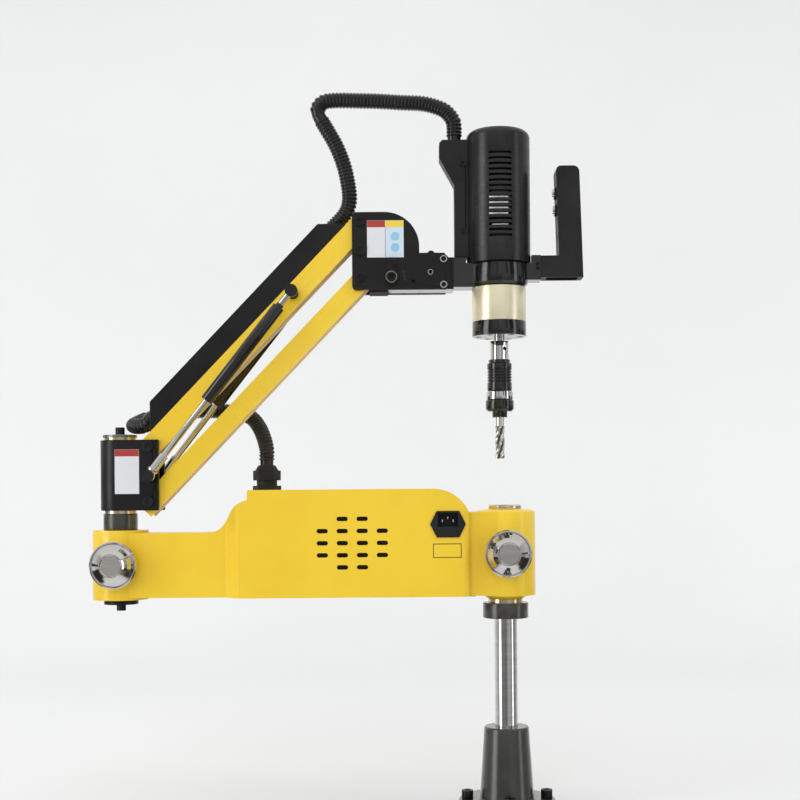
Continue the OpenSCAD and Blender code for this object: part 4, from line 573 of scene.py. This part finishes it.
def hose(name, points, pitch=4.45, outer=10.2, groove=1.45, sides=40, lead=6.0):
    """A hose with rounded ribs along a curve; the grooves are narrower than the ribs."""
    c = curve_through(points)
    s = np.concatenate([[0], np.cumsum(np.linalg.norm(np.diff(c, axis=0), axis=1))])
    total = s[-1]
    count = max(1, round((total - 2 * lead) / pitch))
    step = (total - 2 * lead) / count
    profile = [(0.0, 1.0), (0.10, 0.95), (0.20, 0.45), (0.30, 0.10), (0.50, 0.0), (0.70, 0.10),
               (0.80, 0.45), (0.90, 0.95)]
    along_s, radii = [0.0], [outer - groove]
    for i in range(count):
        for f, depth in profile:
            along_s.append(lead + (i + f) * step)
            radii.append(outer - groove * depth)
    along_s += [lead + count * step, total]
    radii += [outer - groove, outer - groove]

    def at(q):
        return np.array([np.interp(q, s, c[:, k]) for k in range(3)])

    u = Vector((0, -1, 0))
    bm = bmesh.new()
    last = None
    for q, r in zip(along_s, radii):
        tangent = Vector(at(min(q + 0.6, total)) - at(max(q - 0.6, 0))).normalized()
        u = (u - u.dot(tangent) * tangent).normalized()
        w = tangent.cross(u)
        here = Vector(at(q))
        turns = [2 * math.pi * k / sides for k in range(sides)]
        ring = [bm.verts.new((here + r * (math.cos(a) * u + math.sin(a) * w)) * MM) for a in turns]
        if last:
            for k in range(sides):
                bm.faces.new((last[k], ring[k], ring[(k + 1) % sides], last[(k + 1) % sides]))
        else:
            first = ring
        last = ring
    bm.faces.new(first)
    bm.faces.new(last[::-1])
    bmesh.ops.recalc_face_normals(bm, faces=bm.faces)
    return finish_mesh(name, bm, "hose", angle=80)


# Points of the routes at which one piece of hose ends and the next starts
LOWER_SPLIT = 12
UPPER_SPLIT = 11

lower_a = hose("hose_to_elbow", LOWER_ROUTE[:LOWER_SPLIT + 1])
lower_b = hose("hose_into_cover", LOWER_ROUTE[LOWER_SPLIT:])
cover_hose = hose("hose_in_cover", [on_link(x, HOSE_OVER) for x in (36, 180, 330)])
upper_a = hose("hose_from_cover", UPPER_ROUTE[:UPPER_SPLIT + 1])
upper_b = hose("hose_to_motor", UPPER_ROUTE[UPPER_SPLIT:])
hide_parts("lower_conduit")
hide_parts("lower_conduit")
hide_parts("cover_conduit")
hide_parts("upper_conduit")
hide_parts("upper_conduit")
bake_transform(lower_a)
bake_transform(lower_b)
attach(cover_hose, "upper_link")
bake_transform(upper_a)
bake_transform(upper_b)

# Plates, marks and trim

# Blank label on the pivot block's front face, with a plain header band
plate("block_label", "elbow_block",
      (-502, BLOCK_FRONT - 0.35, 413.4), (-470.8, BLOCK_FRONT, 470.4),
      [("label_red", (-501.8, BLOCK_FRONT - 0.45, 461.6), (-471.0, BLOCK_FRONT - 0.3, 470.2))])
# Blank double label on the front head plate
label_low, label_high = PLATE_FRONT - 0.45, PLATE_FRONT - 0.3
plate("head_label", "head_bracket",
      (-176, PLATE_FRONT - 0.35, 714.4), (-129, PLATE_FRONT, 762),
      [("label_red", (-175.8, label_low, 753.2), (-152.8, label_high, 761.8)),
       ("label_yellow", (-152.3, label_low, 753.2), (-129.2, label_high, 761.8)),
       ("label_blue", (-152.3, PLATE_FRONT - 0.42, 714.6), (-129.2, label_high, 753.2)),
       ("black_satin", (-152.8, PLATE_FRONT - 0.42, 714.6), (-152.3, label_high, 753.2))])
DOT = [(0.2, 0.0), (5.6, 0.0), (5.6, 0.12), (0.2, 0.12)]
for label, z in (("upper", 741.4), ("lower", 727.2)):
    turned("label_dot_" + label, "head_bracket", "dot_blue", DOT,
           (-140.1, PLATE_FRONT - 0.4, z), (0, -1, 0), 40)
# Bright rims of the two screws at the plate's front end, and of the small hole behind them
SCREW_RIM = [(3.3, 0.0), (4.5, 0.0), (4.5, 0.3), (3.3, 0.3)]
HOLE_RIM = [(2.7, 0.0), (3.5, 0.0), (3.5, 0.2), (2.7, 0.2)]
for label, z in (("upper", 712.02), ("lower", 679.02)):
    turned("screw_rim_" + label, "head_bracket", "bright", SCREW_RIM,
           (-78.01, PLATE_FRONT - 2, z), (0, -1, 0))
turned("hole_rim", "head_bracket", "bright", HOLE_RIM,
       (-95.0, PLATE_FRONT + 0.05, 695.5), (0, -1, 0))
# Bright rim of the tilt lever's hub
LEVER_RIM = [(6.1, -0.2), (7.7, -0.2), (7.7, 0.1), (7.3, 0.5), (6.5, 0.5), (6.1, 0.1)]
turned("lever_rim", "tilt_lever", "pewter", LEVER_RIM,
       (TILT[0], PLATE_FRONT - 11, TILT[1]), (0, -1, 0))
# Bare frame below the mains inlet
FRAME_X = (-95, -59)
FRAME_Z = (329.5, 347.5)
FRAME_Y = (BOX_FRONT - 0.3, BOX_FRONT - 0.1)
plate("inlet_frame", "lower_arm",
      (FRAME_X[0], BOX_FRONT - 0.2, FRAME_Z[0]), (FRAME_X[1], BOX_FRONT, FRAME_Z[1]),
      [("frame_brown", (x0, FRAME_Y[0], z0), (x1, FRAME_Y[1], z1)) for x0, z0, x1, z1 in (
          (FRAME_X[0], FRAME_Z[0], FRAME_X[1], FRAME_Z[0] + 1),
          (FRAME_X[0], FRAME_Z[1] - 1, FRAME_X[1], FRAME_Z[1]),
          (FRAME_X[0], FRAME_Z[0], FRAME_X[0] + 1, FRAME_Z[1]),
          (FRAME_X[1] - 1, FRAME_Z[0], FRAME_X[1], FRAME_Z[1]))],
      base="yellow")
# Dark sheets just inside the vent slots: painted shade, so that the slots read black
SHADE_SHEET_X = (-255, -139)
SHADE_SHEET_Z = (310, 388)
for side, y in (("front", -47.3), ("back", 47.1)):
    plate("vent_shade_sheet_" + side, "lower_arm",
          (SHADE_SHEET_X[0], y, SHADE_SHEET_Z[0]), (SHADE_SHEET_X[1], y + 0.2, SHADE_SHEET_Z[1]), [],
          base="black_and_painted_shade")
# Edges of the motor's laminations, seen through the cover's slots in front and behind
# Each bar's foot, left end from the motor's axis, and height
BARS = [(z, -15.8, 1.9) for z in (766.4, 773.4, 780.4, 787.4)] + [(752.8, -10.7, 1.1)]
BARS_RIGHT = 9.7
for side, y in (("front", -38.1), ("back", 37.8)):
    bm = bmesh.new()
    for z, left, height in BARS:
        add_box(bm, (MOTOR_X + left, y, z), (MOTOR_X + BARS_RIGHT, y + 0.3, z + height))
    o = finish_mesh("lamination_edges_" + side, bm, "lamination", smooth=False)
    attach(o, "tilt_head")
# Set screw in the adapter's hole
SET_SCREW = [(0.2, 0.0), (2.45, 0.0), (2.45, 2.0), (1.2, 2.0), (0.2, 1.0)]
SET_SCREW_TURN = math.radians(32)
SET_SCREW_OUT = 8.2
sideways = (math.sin(SET_SCREW_TURN), -math.cos(SET_SCREW_TURN), 0)
turned("adapter_set_screw", "spindle", "black_steel", SET_SCREW,
       (MOTOR_X + SET_SCREW_OUT * sideways[0], SET_SCREW_OUT * sideways[1], 598.02), sideways)
# Bezels round the two buttons
BEZEL = [(5.9, -1.0), (8.4, -1.0), (8.4, 0.6), (7.6, 1.6), (5.9, 1.6)]
for label, z in (("upper", 800.0), ("lower", 778.0)):
    x = COVER_END[0] - COVER_LEAN * (z - COVER_END[1])
    turned("bezel_" + label, "tilt_head", "black_gloss", BEZEL, (x, 0, z), (-1, 0, 0.026))
# Tick marks for the tilt angle on the front head plate, about the tilt axis; every other is long
MARKS_ABOUT = Matrix.Translation((-0.145, 0, 0.688))
MARK_STEP = 8
MARK_FOOT, LONG_MARK, SHORT_MARK = 15.5, 19.5, 18
for i in range(6):
    a = math.radians(MARK_STEP * (i - 1))
    tip = LONG_MARK if i % 2 == 0 else SHORT_MARK
    bm = bmesh.new()
    add_box(bm, (MARK_FOOT, PLATE_FRONT - 0.2, -0.25), (tip, PLATE_FRONT, 0.25))
    o = finish_mesh("tilt_mark_%d" % i, bm, "mark_faint", smooth=False)
    o.matrix_world = MARKS_ABOUT @ Matrix.Rotation(-a, 4, "Y")
    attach(o, "head_bracket")


# Stage, light and camera

def backdrop():
    """A pale floor that curves up into a wall behind the machine."""
    m, t, s = graph("backdrop_paper")
    at = coords(t)
    greys = [(0.3, (0.71, 0.715, 0.717)), (0.7, (0.725, 0.73, 0.732))]
    t.links.new(ramp(t, noise(t, at, 1.3), greys), s.inputs["Base Color"])
    s.inputs["Roughness"].default_value = 0.85
    s.inputs["Specular IOR Level"].default_value = 0.2
    front, back, radius, height, half_width = -5.0, 1.4, 1.2, 6.0, 6.0
    steps = 16
    outline = [(front, 0.0), (back, 0.0)]
    for i in range(1, steps + 1):
        a = math.pi / 2 * i / steps
        outline.append((back + radius * math.sin(a), radius * (1 - math.cos(a))))
    outline.append((back + radius, height))
    bm = bmesh.new()
    rows = [[bm.verts.new((x, y, z)) for y, z in outline] for x in (-half_width, half_width)]
    for i in range(len(outline) - 1):
        bm.faces.new((rows[0][i], rows[1][i], rows[1][i + 1], rows[0][i + 1]))
    me = bpy.data.meshes.new("backdrop")
    bm.to_mesh(me)
    bm.free()
    for p in me.polygons:
        p.use_smooth = True
    me.materials.append(m)
    o = bpy.data.objects.new("backdrop", me)
    bpy.context.scene.collection.objects.link(o)
    return o


def softbox(name, at, aim, size, power):
    """A flat lamp at a place that shines at another."""
    light = bpy.data.lights.new(name, "AREA")
    light.shape = "RECTANGLE"
    light.size, light.size_y = size
    light.energy = power
    o = bpy.data.objects.new(name, light)
    bpy.context.scene.collection.objects.link(o)
    o.location = at
    o.rotation_euler = (Vector(aim) - Vector(at)).to_track_quat("-Z", "Y").to_euler()
    return o


backdrop().visible_glossy = False
softbox("key", (-2.2, -1.12, 0.55), (-0.15, 0, 0.45), (0.9, 2.6), 20.5)
softbox("rim", (2.1, -0.95, 0.55), (-0.1, 0, 0.45), (0.5, 2.5), 7.0)
for name, at, aim, size, power in (("front", (-0.8, -3.2, 1.6), (-0.2, 0, 0.5), (2.0, 2.0), 26),
                                   ("top", (-0.1, 0.2, 2.8), (-0.2, 0.1, 0.0), (3.0, 3.0), 30),
                                   ("wall_left", (-2.6, 0.9, 1.6), (-0.6, 2.6, 0.9), (1.4, 2.0), 15),
                                   ("wall_right", (2.4, 0.9, 1.6), (0.5, 2.6, 0.9), (1.4, 2.0), 15)):
    softbox(name, at, aim, size, power).visible_glossy = False


def studio():
    """Even grey room for soft light; mirror-like parts see walls, dark stands and a warm floor."""
    world = bpy.data.worlds.new("studio")
    bpy.context.scene.world = world
    world.use_nodes = True
    t = world.node_tree
    where = t.nodes.new("ShaderNodeTexCoord")
    split = t.nodes.new("ShaderNodeSeparateXYZ")
    t.links.new(where.outputs["Generated"], split.inputs[0])
    x, y, z = split.outputs
    back = sums(t, "MULTIPLY", y, -1.0)
    turn = sums(t, "ARCTAN2", x, back)
    round_about = spread(t, turn, 0, 1, -math.pi, math.pi)

    def wall(stops, tint):
        """A grey that changes with the angle about the machine, in degrees from the front."""
        return ramp(t, round_about,
                    [((a / 180 + 1) / 2, tuple(v * c for c in tint)) for a, v in stops])

    def zone(rise, fall):
        """Directions whose steepness lies between two soft limits."""
        return sums(t, "MULTIPLY", spread(t, z, 0.0, 1.0, *rise), spread(t, z, 1.0, 0.0, *fall))

    low_walls = [(-180, 0.92), (-140, 0.85), (-110, 0.60), (-90, 0.42), (-50, 0.34), (-46, 0.20),
                 (-20, 0.21), (-6, 0.15), (4, 0.20), (10, 0.36), (26, 0.44), (50, 0.34),
                 (82, 0.24), (100, 0.30), (125, 0.62), (150, 0.88), (180, 0.92)]
    walls = [(-180, 0.92), (-140, 0.85), (-110, 0.60), (-88, 0.35), (-84, 0.03), (-64, 0.03),
             (-62, 0.95), (-52, 0.95), (-50, 0.03), (-40, 0.02), (-37, 0.40), (-14, 0.50),
             (-11, 0.16), (-8, 0.20), (-6, 0.60), (24, 0.55), (26, 0.05), (32, 0.04), (34, 0.85),
             (40, 0.85), (42, 0.03), (74, 0.04), (78, 0.35), (120, 0.60), (180, 0.92)]
    knob_walls = [(-180, 0.92), (-140, 0.85), (-128, 0.60), (-125, 0.05), (-92, 0.04),
                  (-89, 0.40), (-60, 0.16), (-40, 0.10), (-36, 0.30), (-30, 0.40), (0, 0.42),
                  (3, 0.36), (9, 0.36), (11, 0.60), (40, 0.62), (46, 0.20), (80, 0.20),
                  (84, 0.04), (99, 0.03), (101, 0.75), (104, 0.70), (106, 0.03), (124, 0.05),
                  (130, 0.62), (180, 0.92)]
    band = zone((-0.24, -0.21), (-0.075, -0.065))
    level = zone((-0.075, -0.065), (0.03, 0.05))
    low = zone((-0.80, -0.74), (-0.16, -0.10))
    aside = spread(t, sums(t, "ABSOLUTE", x), 0.0, 1.0, 0.40, 0.55)
    front = spread(t, y, 1.0, 0.0, -0.35, 0.15)
    down = sums(t, "MULTIPLY", spread(t, z, 1.0, 0.0, -0.50, -0.36), front)
    dark_side, warm_floor = (0.035, 0.032, 0.026), (0.26, 0.20, 0.145)
    ceiling, underfoot = (0.74, 0.72, 0.68), (0.80, 0.79, 0.77)
    far = share(t, wall(walls, (1, 0.99, 0.97)), dark_side, sums(t, "MULTIPLY", aside, low))
    seen = share(t, far, wall(low_walls, (1, 1, 0.99)), band)
    seen = share(t, seen, wall(knob_walls, (1, 0.98, 0.92)), level)
    seen = share(t, seen, warm_floor, down)
    seen = share(t, seen, ceiling, spread(t, z, 0.0, 1.0, 0.48, 0.60))
    seen = share(t, seen, underfoot, spread(t, z, 1.0, 0.0, -0.88, -0.70))
    greys = [(p, (v, v, v)) for p, v in ((0.0, 0.55), (0.5, 0.60), (1.0, 0.80))]
    soft = ramp(t, spread(t, z, 0, 1, -1, 1), greys)
    path = t.nodes.new("ShaderNodeLightPath")
    light = share(t, soft, seen, path.outputs["Is Glossy Ray"])
    shown = share(t, light, (0.85, 0.85, 0.855), path.outputs["Is Camera Ray"])
    t.links.new(shown, t.nodes["Background"].inputs["Color"])


studio()

# A level camera; its place, lens and shift put the model where the photograph shows the machine
EYE = (-0.1363, -1.757, 0.407)
LENS = 60.75
SHIFT = 0.121
# The photograph is turned by a hair about the line of sight
ROLL = -0.00785
camera = bpy.data.cameras.new("camera")
camera.sensor_width = 36
camera.lens = LENS
camera.shift_y = SHIFT
eye = bpy.data.objects.new("camera", camera)
bpy.context.scene.collection.objects.link(eye)
level_view = Matrix.Translation(EYE) @ Matrix.Rotation(math.pi / 2, 4, "X")
eye.matrix_world = level_view @ Matrix.Rotation(ROLL, 4, "Z")
bpy.context.scene.camera = eye
bpy.context.scene.view_settings.view_transform = "Standard"
